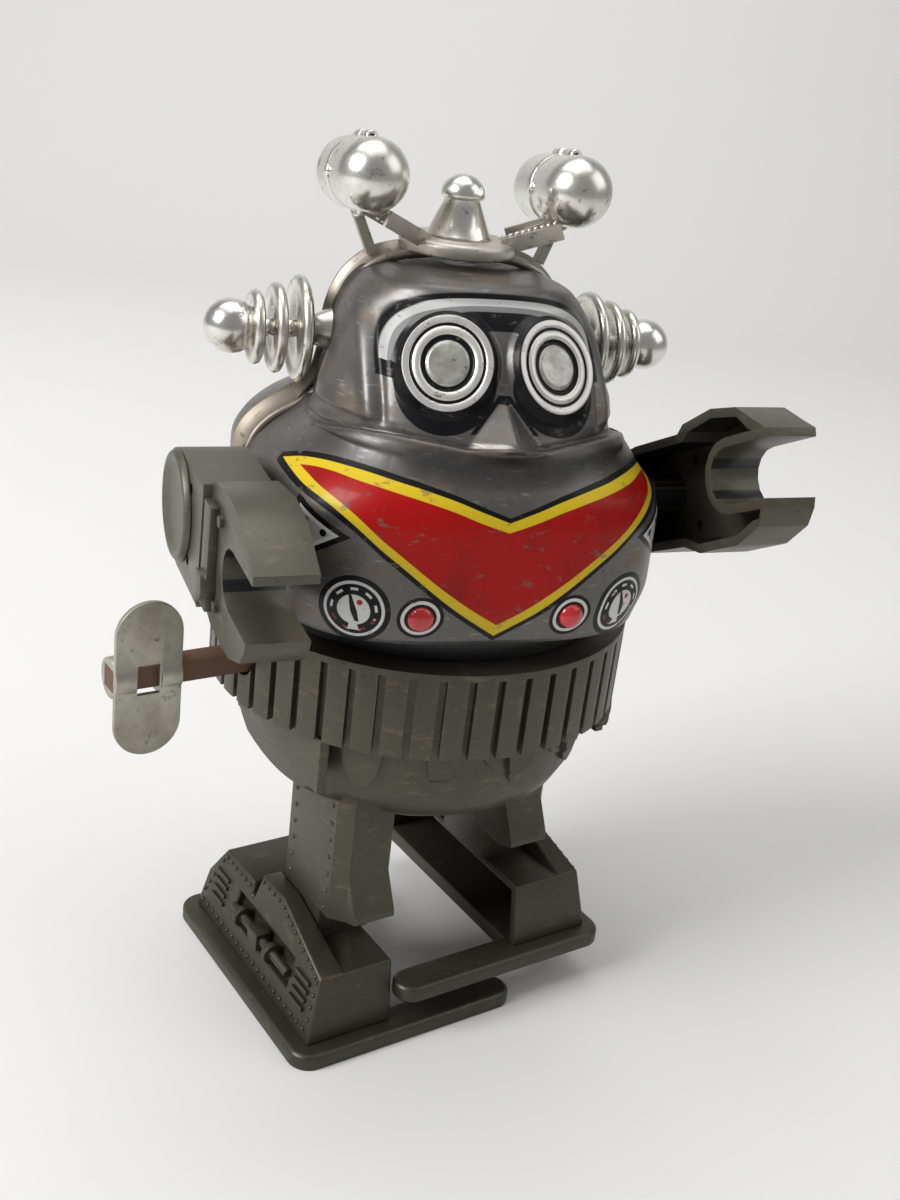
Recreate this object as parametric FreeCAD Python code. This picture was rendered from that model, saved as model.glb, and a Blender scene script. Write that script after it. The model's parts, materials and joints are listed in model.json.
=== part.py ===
import FreeCAD, Part
import math
import os

os.makedirs("parts", exist_ok=True)
V = FreeCAD.Vector

# ---- driving dimensions, millimetres and degrees ----
# Frame: floor at z = 0, +Z up, the feet face -Y, the robot's right side is -X, waist axis on x = y = 0.

waist_turn = -15.3          # upper body, turned about the waist at rest
arm_skew = 4.0              # the shoulder axle sits slightly askew in the body
right_arm_angle = -3.0      # arm angles above level at rest
left_arm_angle = 26.0
fit = 0.05                  # radial clearance of every running fit
gap = 0.4                   # air between parts that move past each other

# feet
foot_inner = 11.4           # |x| of a foot's inner side
foot_outer = 28.8
foot_front = -24.4
foot_rear = 21.5
sole_t = 2.6
sole_corner = 3.5
tongue_w = 5.8              # front tongue that reaches under the other foot
housing_inset = 2.6         # rim of sole left showing around the housing
deck_z = 13.2               # level top of the housing in front of the leg
heel_z = 15.6               # top of the heel block
heel_front = 3.5
rib_z = 18.0                # top of the outer side panel
housing_lean = 3.3          # the outer side leans in by this much
foot_wall = 1.4
strut_r = 0.8               # bar in the side recess

# legs
leg_inner = 10.6
leg_w = 9.0
leg_front = -15.4
leg_rear = 0.5
leg_wall = 1.3
leg_chamfer = 2.0           # front outer corner
leg_top = 4.4               # leg above its crank pin
leg_toe = 5.4               # the front of the leg stops this far above the housing
cuff_out = 3.0              # the leg's cuff stands this far forward
cuff_h = 8.0

# crank
crank_y = -8.0
crank_z = 45.0
crank_r = 3.4               # pin offset: half the step height
crank_disc_r = 4.8
crank_disc_t = 1.4
crank_pin_r = 1.2
shaft_r = 1.5

# key and gears
key_y = -3.2
key_z = 60.5
great_teeth = 42
pinion_teeth = 10
crank_wheel_teeth = 14
fly_teeth = 8
fly_module = 0.5
fan_r = 3.7
gear_t = 1.6
arbor_r = 1.5
key_side = 3.2              # square part of the key shaft
key_tip_x = -51.5
wing_w = 9.6                # along the shaft
wing_span = 23.0
wing_t = 0.8
strap_r = 2.9

# motor
plate_x = 6.9               # inner face of a motor plate
plate_t = 0.8
plate_front = -17.0
plate_rear = 13.0
plate_top = 73.0
pillar_r = 1.3

# pelvis and waist
pelvis_bottom = 38.6
pelvis_top = 53.3
pelvis_r = 27.5
pelvis_half_w = 25.0
hip_half_w = 23.6           # narrower below the side block
hip_z = 44.8
pelvis_wall = 1.4
ring_r = 32.0
ring_top = 66.5
ring_wall = 2.6
ring_ribs = 48
ring_slot_w = 1.1
ring_slot_d = 1.2
ring_lip = 1.0
shelf_t = 2.0
bearing_r = 24.0            # turntable neck of the collar
collar_r = 27.6
collar_wall = 1.6

# body shell: height, half width, depth forward, depth to the rear, squareness of the outline
tin = 0.6
shell_rows = [
    (71.0, 28.4, 31.2, 26.0, 3.2),
    (76.0, 29.6, 32.6, 28.0, 3.2),
    (87.5, 29.4, 32.4, 28.0, 3.2),
    (90.5, 27.6, 31.8, 26.6, 3.2),
    (93.0, 25.0, 30.4, 24.6, 3.2),
    (95.0, 22.0, 28.6, 22.4, 3.4),
    (98.0, 19.2, 26.6, 20.4, 3.6),
    (104.0, 18.0, 24.0, 18.8, 3.8),
    (108.5, 17.2, 21.8, 17.2, 3.8),
    (112.5, 15.6, 19.4, 15.2, 3.6),
    (115.0, 13.0, 17.0, 12.6, 3.2),
    (115.8, 10.8, 15.0, 10.6, 3.0),
]
split_y = 1.4               # front and rear shells meet here
band_w = 4.0                # head band width along y
band_t = 1.0
band_off = 0.8              # air under the head band
ear_z = 105.3
ear_y = 1.4
ear_tip = 35.4
ear_ball_r = 3.8
ear_stub_r = 1.2
ear_root_r = 3.0
ear_discs = [(22.1, 7.4), (25.4, 6.3), (28.3, 5.2)]   # distance out, radius
crown_r = 8.2
crown_z = 117.3
crown_t = 2.2
cone_r = 4.6
cone_h = 5.6
knob_r = 3.1
pod_x = 14.8
pod_y = 1.4
pod_z = 127.0
pod_r = 5.2
pod_len = 21.0
strut_t = 1.4
strut_half = 1.9

# arms, measured along the arm from the shoulder axis
shoulder_y = -10.0
shoulder_z = 84.0
arm_inner = 30.6            # |x| of the open side
arm_outer = 39.8
claw_outer = 38.6
arm_wall = 1.3
arm_back = 9.0
box_front = 12.0
box_top = 7.6
box_bottom = -8.8
claw_top = 9.8
claw_bottom = -10.0
jaw_depth_u = 19.8          # back of the jaw
jaw_half = 4.0
claw_tip = 33.5
disc_r = 7.7
disc_t = 1.0
axle_r = 1.6
rivet_r = 0.75

NODES = {}


def box(x0, x1, y0, y1, z0, z1):
    return Part.makeBox(x1 - x0, y1 - y0, z1 - z0, V(x0, y0, z0))


def cyl(r, p, q):
    """A round bar from p to q."""
    d = q.sub(p)
    return Part.makeCylinder(r, d.Length, p, d)


def prism_x(points, x0, x1):
    """A (y, z) outline made solid from x0 to x1."""
    wire = Part.makePolygon([V(x0, y, z) for y, z in points + points[:1]])
    return Part.Face(wire).extrude(V(x1 - x0, 0, 0))


def revolve_z(points, x=0.0, y=0.0):
    """An (r, z) outline turned about a vertical line."""
    wire = Part.makePolygon([V(x + r, y, z) for r, z in points + points[:1]])
    return Part.Face(wire).revolve(V(x, y, 0), V(0, 0, 1), 360)


def revolve_x(points, y, z):
    """An (x, r) outline turned about a line along X."""
    wire = Part.makePolygon([V(x, y, z + r) for x, r in points + points[:1]])
    return Part.Face(wire).revolve(V(0, y, z), V(1, 0, 0), 360)


def fuse(shapes):
    out = shapes[0].multiFuse(shapes[1:]) if len(shapes) > 1 else shapes[0]
    return out.removeSplitter()


def mirrored(shape):
    return shape.mirror(V(0, 0, 0), V(1, 0, 0))


def moved(shape, x, y, z):
    out = shape.copy()
    out.translate(V(x, y, z))
    return out


def turned(shape, centre, axis, angle):
    out = shape.copy()
    out.rotate(centre, axis, angle)
    return out


def in_body(shape):
    """From the upper body's own frame to the robot's."""
    return turned(shape, V(0, 0, 0), V(0, 0, 1), waist_turn)


def add(name, shape):
    NODES[name] = shape


# ---- feet and legs, drawn for the robot's left side, then mirrored ----

def sole():
    plate = box(foot_inner, foot_outer, foot_front, foot_rear, 0, sole_t)
    outer = [e for e in plate.Edges
             if abs(e.tangentAt(e.FirstParameter).z) > 0.9 and e.CenterOfMass.x > foot_inner + 1]
    plate = plate.makeFillet(sole_corner, outer)
    tip = -(foot_inner - gap)
    mid_y = foot_front + tongue_w / 2
    tongue = box(tip + tongue_w / 2, foot_inner + 1, foot_front, foot_front + tongue_w, 0, sole_t)
    end = Part.makeCylinder(tongue_w / 2, sole_t, V(tip + tongue_w / 2, mid_y, 0))
    body = fuse([plate, tongue, end])
    top = [e for e in body.Edges if e.CenterOfMass.z > sole_t - 0.01 and e.CenterOfMass.x > foot_inner + 0.5]
    return body.makeChamfer(0.5, top)


def housing():
    f = foot_front + housing_inset
    r = foot_rear - housing_inset
    main = [(f, sole_t), (f + 1.4, deck_z), (heel_front, deck_z), (heel_front, heel_z),
            (r - 5, heel_z), (r - 1, heel_z * 0.62), (r, sole_t)]
    rib = [(f + 1, sole_t + 5), (f + 1.4, deck_z), (leg_front + 10, rib_z), (leg_rear + 1.2, rib_z),
           (heel_front - 0.8, deck_z), (heel_front - 0.8, sole_t + 5)]
    side = foot_outer - housing_inset
    rib_in = leg_inner + leg_w + 0.2

    def solid(inset):
        body = prism_x(main, foot_inner, side).fuse(prism_x(rib, rib_in, side))
        lean = prism_lean(side - inset)
        return body.cut(lean)

    outer = solid(0)
    cavity_main = [(f + foot_wall, sole_t), (f + 1.4 + foot_wall, deck_z - foot_wall),
                   (heel_front + foot_wall, deck_z - foot_wall), (heel_front + foot_wall, heel_z - foot_wall),
                   (r - 5 - 0.5, heel_z - foot_wall), (r - 1 - foot_wall, heel_z * 0.6), (r - foot_wall, sole_t)]
    cavity = prism_x(cavity_main, foot_inner - 1, side).cut(prism_lean(side - 2.4 * foot_wall))
    body = outer.cut(cavity)
    recess = box(side - 20, side + 1, -12.5, 7.0, 6.6, 12.0)
    body = body.cut(recess.common(prism_lean(side - foot_wall * 1.1)))
    return body.removeSplitter()


def prism_lean(side):
    """Everything outside the leaning outer wall that starts at x = side on the sole."""
    pts = [V(side, -40, sole_t), V(side - housing_lean, -40, rib_z), V(side - housing_lean * 1.5, -40, rib_z * 1.46),
           V(side + 30, -40, rib_z * 1.46), V(side + 30, -40, sole_t - 1), V(side + 0.2, -40, sole_t - 1)]
    return Part.Face(Part.makePolygon(pts + pts[:1])).extrude(V(0, 80, 0))


def foot_strut():
    side = foot_outer - housing_inset
    z = 9.3
    x = side - housing_lean * (z - sole_t) / (rib_z - sole_t) + 0.3
    bar = cyl(strut_r, V(x, -12.5, z), V(x, 7.0, z))
    rings = [cyl(1.7, V(x, y, z), V(x, y + 1.2, z)) for y in (-7.4, 3.2)]
    block = box(x - 1.2, x + 1.3, -3.8, -0.6, z - 1.5, z + 1.5)
    return fuse([bar, block] + rings)


def leg():
    pin_z = crank_z - crank_r
    top = pin_z + leg_top
    x1 = leg_inner + leg_w
    c = leg_chamfer
    plan = [V(leg_inner, leg_rear, deck_z), V(leg_inner, leg_front, deck_z), V(x1 - c, leg_front, deck_z),
            V(x1, leg_front + c, deck_z), V(x1, leg_rear, deck_z)]
    column = Part.Face(Part.makePolygon(plan + plan[:1])).extrude(V(0, 0, top - deck_z))
    low = deck_z + leg_toe
    cuff = prism_x([(leg_front + 0.1, low), (leg_front - cuff_out, low + 1.2),
                    (leg_front - cuff_out * 0.9, low + cuff_h * 0.3),
                    (leg_front + 0.1, low + cuff_h)], leg_inner, x1 - c)
    body = column.fuse(cuff).cut(box(0, 40, leg_front - 9, leg_front + 4.4, deck_z - 1, low)).removeSplitter()
    w = leg_wall
    hollow = box(leg_inner + w, x1 - w, leg_front + c + w, leg_rear - w, low + w, top - w)
    body = body.cut(hollow)
    bore = cyl(crank_pin_r + fit, V(leg_inner - 1, crank_y, pin_z), V(leg_inner + w + 2, crank_y, pin_z))
    boss = cyl(crank_pin_r + 1.6, V(leg_inner + w, crank_y, pin_z), V(leg_inner + w + 1.4, crank_y, pin_z))
    return body.fuse(boss).cut(bore).removeSplitter()


def make_leg_sets():
    parts = {"sole": sole(), "foot_housing": housing(), "foot_strut": foot_strut(), "leg": leg()}
    for name, shape in parts.items():
        add(name + "_right", mirrored(shape))
        add(name + "_left", moved(shape, 0, 0, 2 * crank_r))


# ---- gears ----

def gear(teeth, module, x0, x1, y, z, bore, phase=0.0):
    """A spur gear with plain trapezoid teeth, about a line along X."""
    root = module * (teeth / 2 - 1.2)
    tip = module * (teeth / 2 + 0.8)
    pitch = 360.0 / teeth
    pts = []
    for i in range(teeth):
        a = phase + i * pitch
        for r, da in ((root, -0.27), (tip, -0.08), (tip, 0.08), (root, 0.27)):
            t = math.radians(a + da * pitch)
            pts.append(V(x0, y + r * math.cos(t), z + r * math.sin(t)))
    body = Part.Face(Part.makePolygon(pts + pts[:1])).extrude(V(x1 - x0, 0, 0))
    return body.cut(cyl(bore, V(x0 - 1, y, z), V(x1 + 1, y, z)))


def toward(y0, z0, y1, z1):
    """The angle of the line from one shaft to the other, seen along X."""
    return math.degrees(math.atan2(z1 - z0, y1 - y0))


fly_y = crank_y + fly_module * (crank_wheel_teeth + fly_teeth) / 2
fly_z = crank_z
great_x = 0.6
wheel_x = 3.2


def make_motor():
    reach = math.hypot(key_y - crank_y, key_z - crank_z)
    module = 2 * reach / (great_teeth + pinion_teeth)
    up = toward(crank_y, crank_z, key_y, key_z)
    pinion_phase = up + 180.0 / pinion_teeth
    add("great_wheel", gear(great_teeth, module, great_x, great_x + gear_t, key_y, key_z, arbor_r, up + 180))
    add("crank_pinion", gear(pinion_teeth, module, great_x - 0.4, great_x + gear_t + 0.4,
                             crank_y, crank_z, shaft_r, pinion_phase))
    add("crank_wheel", gear(crank_wheel_teeth, fly_module, wheel_x, wheel_x + 1.0, crank_y, crank_z, shaft_r, 0))
    fly_pinion = gear(fly_teeth, fly_module, wheel_x - 0.5, wheel_x + 1.6, fly_y, fly_z, 0.7,
                      180 + 180.0 / fly_teeth)
    add("fly_pinion", fly_pinion)
    arbor = cyl(0.7, V(-plate_x - plate_t - 0.5, fly_y, fly_z), V(plate_x + plate_t + 0.5, fly_y, fly_z))
    hub = cyl(1.5, V(-5.4, fly_y, fly_z), V(-1.6, fly_y, fly_z))
    blades = box(-5.2, -1.8, fly_y - fan_r, fly_y + fan_r, fly_z - 0.3, fly_z + 0.3)
    add("governor_fan", hub.fuse(blades).cut(cyl(0.7, V(-7, fly_y, fly_z), V(0, fly_y, fly_z))).removeSplitter())
    add("governor_arbor", arbor)
    end = plate_x + plate_t
    holes = [(crank_y, crank_z, shaft_r + fit), (key_y, key_z, arbor_r + fit), (fly_y, fly_z, 0.7 + fit)]
    pillars = [(-14.5, 42.5), (10.5, 42.5), (-14.5, 70.5), (10.5, 70.5)]
    for side, sx in (("right", -1), ("left", 1)):
        x0, x1 = sorted((sx * plate_x, sx * end))
        plate = box(x0, x1, plate_front, plate_rear, pelvis_bottom + pelvis_wall, plate_top)
        for y, z, r in holes + [(py, pz, 0.8) for py, pz in pillars]:
            plate = plate.cut(cyl(r, V(x0 - 1, y, z), V(x1 + 1, y, z)))
        add("motor_plate_" + side, plate)
    posts = []
    for y, z in pillars:
        body = cyl(pillar_r, V(-plate_x, y, z), V(plate_x, y, z))
        pin = cyl(0.8, V(-end, y, z), V(end, y, z))
        posts.append(body.fuse(pin).removeSplitter())
    add("motor_pillars", Part.makeCompound(posts))
    caps = [cyl(1.6, V(s * end, y, z), V(s * (end + 0.7), y, z)) for y, z in pillars for s in (-1, 1)]
    add("pillar_nuts", Part.makeCompound(caps))
    add("mainspring", mainspring())


def mainspring():
    """A flat spiral strip beside the great wheel."""
    turns, r0, r1, t = 6, arbor_r + 0.6, 9.8, 0.35
    steps = turns * 20
    inner, outer = [], []
    for i in range(steps + 1):
        a = math.tau * i / 20
        r = r0 + (r1 - r0) * i / steps
        inner.append(V(-5.6, key_y + r * math.cos(a), key_z + r * math.sin(a)))
        outer.append(V(-5.6, key_y + (r + t) * math.cos(a), key_z + (r + t) * math.sin(a)))
    wire = Part.makePolygon(inner + outer[::-1] + inner[:1])
    return Part.Face(wire).extrude(V(5.2, 0, 0))


def make_crank():
    end = plate_x + plate_t
    disc_x = end + 0.9
    shaft = cyl(shaft_r, V(-disc_x, crank_y, crank_z), V(disc_x, crank_y, crank_z))
    add("crank_shaft", shaft)
    for side, sx, dz in (("right", -1, -crank_r), ("left", 1, crank_r)):
        face = sx * (disc_x + crank_disc_t)
        disc = cyl(crank_disc_r, V(sx * disc_x, crank_y, crank_z), V(face, crank_y, crank_z))
        z = crank_z + dz
        pin_end = sx * (leg_inner + leg_wall + 1.4 + gap)
        pin = cyl(crank_pin_r, V(face, crank_y, z), V(pin_end, crank_y, z))
        head = cyl(crank_pin_r + 0.7, V(pin_end, crank_y, z), V(pin_end + sx * 0.8, crank_y, z))
        add("crank_disc_" + side, fuse([disc, pin, head]))


def make_key():
    end = plate_x + plate_t
    arbor = cyl(arbor_r, V(-end - 1.5, key_y, key_z), V(end + 0.8, key_y, key_z))
    square = box(key_tip_x, -end - 1.5, key_y - key_side / 2, key_y + key_side / 2,
                 key_z - key_side / 2, key_z + key_side / 2)
    add("key_shaft", arbor.fuse(square).removeSplitter())
    x0 = key_tip_x
    x1 = key_tip_x + wing_w
    mid = (x0 + x1) / 2
    y0 = key_y - key_side / 2 - wing_t
    lobes = []
    reach = wing_span / 2
    for s in (-1, 1):
        top = key_z + s * (reach - wing_w / 2)
        round_end = Part.makeCylinder(wing_w / 2, wing_t, V(mid, y0, top), V(0, 1, 0))
        z0, z1 = sorted((key_z, top))
        lobes += [round_end, box(x0, x1, y0, y0 + wing_t, z0, z1)]
    window = box(x0 + 3.2, x1 - 3.2, y0 - 1, y0 + wing_t + 1, key_z - 2.2, key_z + 2.2)
    sheet = fuse(lobes).cut(window)
    straps = []
    for a, b in ((x0, x0 + 3.0), (x1 - 3.0, x1)):
        tube = cyl(strap_r, V(a, key_y, key_z), V(b, key_y, key_z))
        straps.append(tube)
    body = fuse([sheet] + straps)
    body = body.cut(box(x0 - 1, x1 + 1, key_y - key_side / 2, key_y + key_side / 2,
                        key_z - key_side / 2, key_z + key_side / 2))
    add("key_wing", body.removeSplitter())


# ---- pelvis and waist ----

def bowl(offset):
    b = pelvis_bottom + offset
    top = pelvis_top + (1 if offset else 0)
    outline = [(0, b), (22.6 - offset, b), (25.4 - offset, b + 2.0), (26.9 - offset, b + 5.0),
               (pelvis_r - offset, b + 10.0), (pelvis_r - offset, top), (0, top)]
    half, hip = pelvis_half_w - offset, hip_half_w - offset
    limits = box(-half, half, -60, 60, hip_z + offset, 90).fuse(box(-hip, hip, -60, 60, 0, 90))
    return revolve_z(outline).common(limits)


def make_pelvis():
    outer = bowl(0)
    pads = []
    for k in (-1, 0, 1):
        a = math.radians(-90 + 24 * k)
        d = V(math.cos(a), math.sin(a), 0)
        pads.append(Part.makeCylinder(5.2, 6, V(d.x * 22, d.y * 22, pelvis_top), d))
    pads = Part.makeCompound(pads).common(Part.makeCylinder(pelvis_r + 0.7, 12, V(0, 0, pelvis_top - 12)))
    steps = [box(s * pelvis_half_w - (1.2 if s < 0 else 0.3), s * pelvis_half_w + (0.3 if s < 0 else 1.2),
                 -18.0, 4.0, hip_z, pelvis_top) for s in (-1, 1)]
    body = fuse([outer] + list(pads.Solids) + steps).cut(bowl(pelvis_wall))
    x0, x1 = leg_inner - gap * 2, leg_inner + leg_w + gap * 2
    y0, y1 = leg_front - crank_r - gap * 2, leg_rear + crank_r + gap * 2
    for s in (-1, 1):
        a, b = sorted((s * x0, s * x1))
        slot = box(a, b, y0, y1, pelvis_bottom - 1, pelvis_top + 1)
        body = body.cut(slot.common(Part.makeCylinder(pelvis_r - pelvis_wall, 40, V(0, 0, pelvis_bottom - 2))))
    add("pelvis_shell", body.removeSplitter())


def make_ring():
    shelf_z = ring_top - shelf_t
    outline = [(ring_r - ring_wall, pelvis_top), (ring_r, pelvis_top), (ring_r, ring_top),
               (bearing_r + fit, ring_top), (bearing_r + fit, shelf_z), (ring_r - ring_wall, shelf_z)]
    body = revolve_z(outline)
    lap = pelvis_r - pelvis_wall
    web = revolve_z([(lap, pelvis_top), (ring_r - ring_wall + 0.5, pelvis_top),
                     (ring_r - ring_wall + 0.5, pelvis_top + 1.4), (lap, pelvis_top + 1.4)])
    body = body.fuse(web)
    slots = []
    for i in range(ring_ribs):
        slot = box(ring_r - ring_slot_d, ring_r + 1, -ring_slot_w / 2, ring_slot_w / 2,
                   pelvis_top - 1, ring_top - ring_lip)
        slots.append(turned(slot, V(0, 0, 0), V(0, 0, 1), (i + 0.5) * 360.0 / ring_ribs))
    body = body.cut(Part.makeCompound(slots))
    body = body.cut(cyl(key_side * 0.5 * 1.4142 + gap, V(-ring_r - 2, key_y, key_z), V(-20, key_y, key_z)))
    add("waist_ring", body.removeSplitter())


def make_collar():
    """The black turntable between the ring and the body shell."""
    shelf_z = ring_top - shelf_t
    low = shelf_z - 0.2
    top = shell_rows[0][0]
    outline = [(bearing_r - collar_wall, low), (bearing_r, low), (bearing_r, ring_top + 0.2),
               (collar_r, ring_top + 0.2), (collar_r, top), (bearing_r - collar_wall, top)]
    collar = in_body(revolve_z(outline))
    add("waist_collar", collar)
    clip = [(bearing_r - collar_wall, low - 1.0), (bearing_r + 1.6, low - 1.0),
            (bearing_r + 1.6, low), (bearing_r - collar_wall, low)]
    add("collar_clip", revolve_z(clip))
    plate = Part.Face(section(top, tin + fit)).extrude(V(0, 0, 1.0))
    plate = plate.cut(Part.makeCylinder(bearing_r - collar_wall, 3, V(0, 0, top - 1)))
    add("body_floor", in_body(plate))


# ---- body shells ----

def row_at(z):
    rows = shell_rows
    for low, high in zip(rows, rows[1:]):
        if z <= high[0]:
            t = (z - low[0]) / (high[0] - low[0])
            return [a + (b - a) * t for a, b in zip(low, high)]
    return list(rows[-1])


def section(z, inset):
    """The closed outline of the shell at a height, drawn in by inset."""
    _, a, front, rear, power = row_at(z)
    pts = []
    for i in range(48):
        t = math.tau * i / 48
        c, s = math.cos(t), math.sin(t)
        x = math.copysign(abs(c) ** (2 / power), c) * (a - inset)
        y = math.copysign(abs(s) ** (2 / power), s) * ((rear if s > 0 else front) - inset)
        pts.append(V(x, y, z))
    return Part.makePolygon(pts + pts[:1])


def shell_solid(inset, floor=0.0):
    rows = [r[0] for r in shell_rows]
    rows[0] -= floor
    rows[-1] -= inset
    wires = [section(max(z, shell_rows[0][0]), inset) for z in rows]
    if floor:
        wires[0].translate(V(0, 0, -floor))
    return Part.makeLoft(wires, True, True)


def axle_rod(r, half):
    """A rod on the shoulder axle's line, in the upper body's frame."""
    rod = cyl(r, V(-half, shoulder_y, shoulder_z), V(half, shoulder_y, shoulder_z))
    return turned(rod, V(0, shoulder_y, shoulder_z), V(0, 0, 1), arm_skew)


def make_shells():
    outer = shell_solid(0)
    hollow = outer.cut(shell_solid(tin, 1.0))
    hollow = hollow.cut(axle_rod(axle_r + fit, 60))
    for s in (-1, 1):
        stub = cyl(ear_stub_r, V(s * 10, ear_y, ear_z), V(s * 40, ear_y, ear_z))
        hollow = hollow.cut(stub)
    front = hollow.common(box(-60, 60, -60, split_y, 60, 130))
    rear = hollow.common(box(-60, 60, split_y, 60, 60, 130))
    add("front_shell", in_body(front))
    add("rear_shell", in_body(rear))


def band_outline(offset):
    """Half of the head band's path over the head, as (x, z) points."""
    pts = []
    for z in (90.0, 93.0, 96.5, 101.0, 105.3, 109.0, 113.0):
        pts.append((row_at(z)[1] + offset, z))
    pts.append((row_at(115.6)[1] + offset - 1.0, 115.9 + offset * 0.6))
    pts.append((crown_r + 1.5, crown_z - 0.6 + offset - band_off))
    return pts


def make_headgear():
    inner = band_outline(band_off)
    outer = band_outline(band_off + band_t)
    inner[-1] = (inner[-1][0], crown_z - band_t)
    outer[-1] = (outer[-1][0], crown_z)
    loop = outer + [(-x, z) for x, z in outer[::-1]] + [(-x, z) for x, z in inner] + inner[::-1]
    wire = Part.makePolygon([V(x, split_y - band_w / 2, z) for x, z in loop + loop[:1]])
    band = Part.Face(wire).extrude(V(0, band_w, 0))
    for s in (-1, 1):
        band = band.cut(cyl(ear_stub_r, V(s * 10, ear_y, ear_z), V(s * 40, ear_y, ear_z)))
    add("head_band", in_body(band))
    z = crown_z
    crown = [(0, z), (crown_r, z), (crown_r + 0.3, z + crown_t - 0.5), (crown_r - 0.4, z + crown_t), (0, z + crown_t)]
    add("crown_plate", in_body(revolve_z(crown, 0, split_y)))
    z += crown_t
    cone = [(0, z), (cone_r, z), (cone_r * 0.62, z + cone_h), (knob_r, z + cone_h), (knob_r, z + cone_h + 0.6),
            (knob_r * 0.8, z + cone_h + 2.0), (knob_r * 0.45, z + cone_h + 2.8), (0, z + cone_h + 3.0)]
    add("crown_cone", in_body(revolve_z(cone, 0, split_y)))
    for side, s in (("right", -1), ("left", 1)):
        make_pod(side, s)
        make_ear(side, s)


def make_pod(side, s):
    centre = V(s * pod_x, pod_y, pod_z)
    half = pod_len / 2 - pod_r
    a, b = centre.add(V(0, -half, 0)), centre.add(V(0, half, 0))
    body = fuse([cyl(pod_r, a, b), Part.makeSphere(pod_r, a), Part.makeSphere(pod_r, b)])
    lugs = [cyl(0.8, centre.add(V(0, -3.6, pod_r + 0.1)), centre.add(V(0, 3.6, pod_r + 0.1))),
            cyl(0.7, centre.add(V(0, -2.4, -pod_r - 0.1)), centre.add(V(0, 2.4, -pod_r - 0.1)))]
    inner = fuse([cyl(pod_r - 0.9, a, b), Part.makeSphere(pod_r - 0.9, a), Part.makeSphere(pod_r - 0.9, b)])
    hollow = fuse([body] + lugs).cut(inner)
    c = centre
    add("pod_front_" + side, in_body(hollow.common(box(-60, 60, -60, c.y, 60, 160))))
    add("pod_rear_" + side, in_body(hollow.common(box(-60, 60, c.y, 60, 60, 160))))
    foot_in = V(s * (crown_r - 1.8), split_y - 2.0, crown_z + crown_t - 0.4)
    top = V(s * (pod_x - 1.6), pod_y - 3.4, pod_z - pod_r * 0.86)
    body_solid = fuse([body] + lugs)
    rails = []
    for dy in (-strut_half, strut_half):
        rails.append(bar(foot_in.add(V(0, dy, 0)), top.add(V(0, dy, 0)), strut_t * 0.7))
    for k in range(1, 6):
        p = foot_in.add(top.sub(foot_in).multiply(k / 6.0))
        rails.append(box(p.x - 0.3, p.x + 0.3, p.y - strut_half, p.y + strut_half, p.z - 0.3, p.z + 0.3))
    front = fuse(rails).cut(body_solid).cut(box(-60, 60, -60, 60, 0, crown_z + crown_t))
    add("pod_strut_front_" + side, in_body(largest(front)))
    low = V(s * (pod_x - 2.2), split_y, band_z(pod_x - 2.2))
    high = V(s * (pod_x + 0.2), pod_y + 1.0, pod_z - pod_r * 0.95)
    rear = bar(low, high, strut_t).cut(body_solid).cut(band_cutter())
    add("pod_strut_rear_" + side, in_body(largest(rear)))


def band_z(x):
    """Height of the top of the head band at a distance from the middle."""
    pts = band_outline(band_off + band_t)
    pts[-1] = (pts[-1][0], crown_z)
    for (x1, z1), (x0, z0) in zip(pts, pts[1:]):
        if x0 <= x <= x1:
            return z0 + (z1 - z0) * (x - x0) / (x1 - x0)
    return crown_z


def band_cutter():
    """Everything under the top of the head band."""
    pts = band_outline(band_off + band_t)
    pts[-1] = (pts[-1][0], crown_z)
    loop = pts + [(-x, z) for x, z in pts[::-1]]
    wire = Part.makePolygon([V(x, split_y - 8, z) for x, z in loop + loop[:1]])
    return Part.Face(wire).extrude(V(0, 16, 0))


def bar(p, q, side):
    """A square bar from p to q."""
    d = q.sub(p)
    n = d.cross(V(0, 1, 0)).normalize().multiply(side / 2)
    y = V(0, side / 2, 0)
    pts = [p.add(n).add(y), p.add(n).sub(y), p.sub(n).sub(y), p.sub(n).add(y)]
    return Part.Face(Part.makePolygon(pts + pts[:1])).extrude(d)


def largest(shape):
    return max(shape.Solids, key=lambda k: k.Volume)


def make_ear(side, s):
    """Three plated discs and a ball, one moulding on a stub."""
    root = row_at(ear_z - ear_root_r)[1] + band_off + band_t + 0.05
    pts = [(root, 0), (root, ear_root_r), (root + 0.8, 1.7)]
    for x, r in ear_discs:
        pts += [(x - 0.5, 1.9), (x - 0.2, r - 0.4), (x, r), (x + 0.5, r), (x + 0.7, r - 0.4), (x + 1.0, 1.9)]
    centre = ear_tip - ear_ball_r
    for k in range(2, 9):
        a = math.pi * k / 8
        pts.append((centre - ear_ball_r * math.cos(a), max(ear_ball_r * math.sin(a), 0)))
    body = revolve_x(pts, ear_y, ear_z)
    stub = cyl(ear_stub_r - fit, V(root - 4, ear_y, ear_z), V(root, ear_y, ear_z))
    body = fuse([body, stub])
    if s < 0:
        body = mirrored(body)
    add("ear_" + side, in_body(body))


# ---- arms, drawn level and pointing forward on the robot's left, then placed ----

def local(u, v):
    """Along and above the arm, as (y, z) about the shoulder axis."""
    return (shoulder_y - u, shoulder_z + v)


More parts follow.
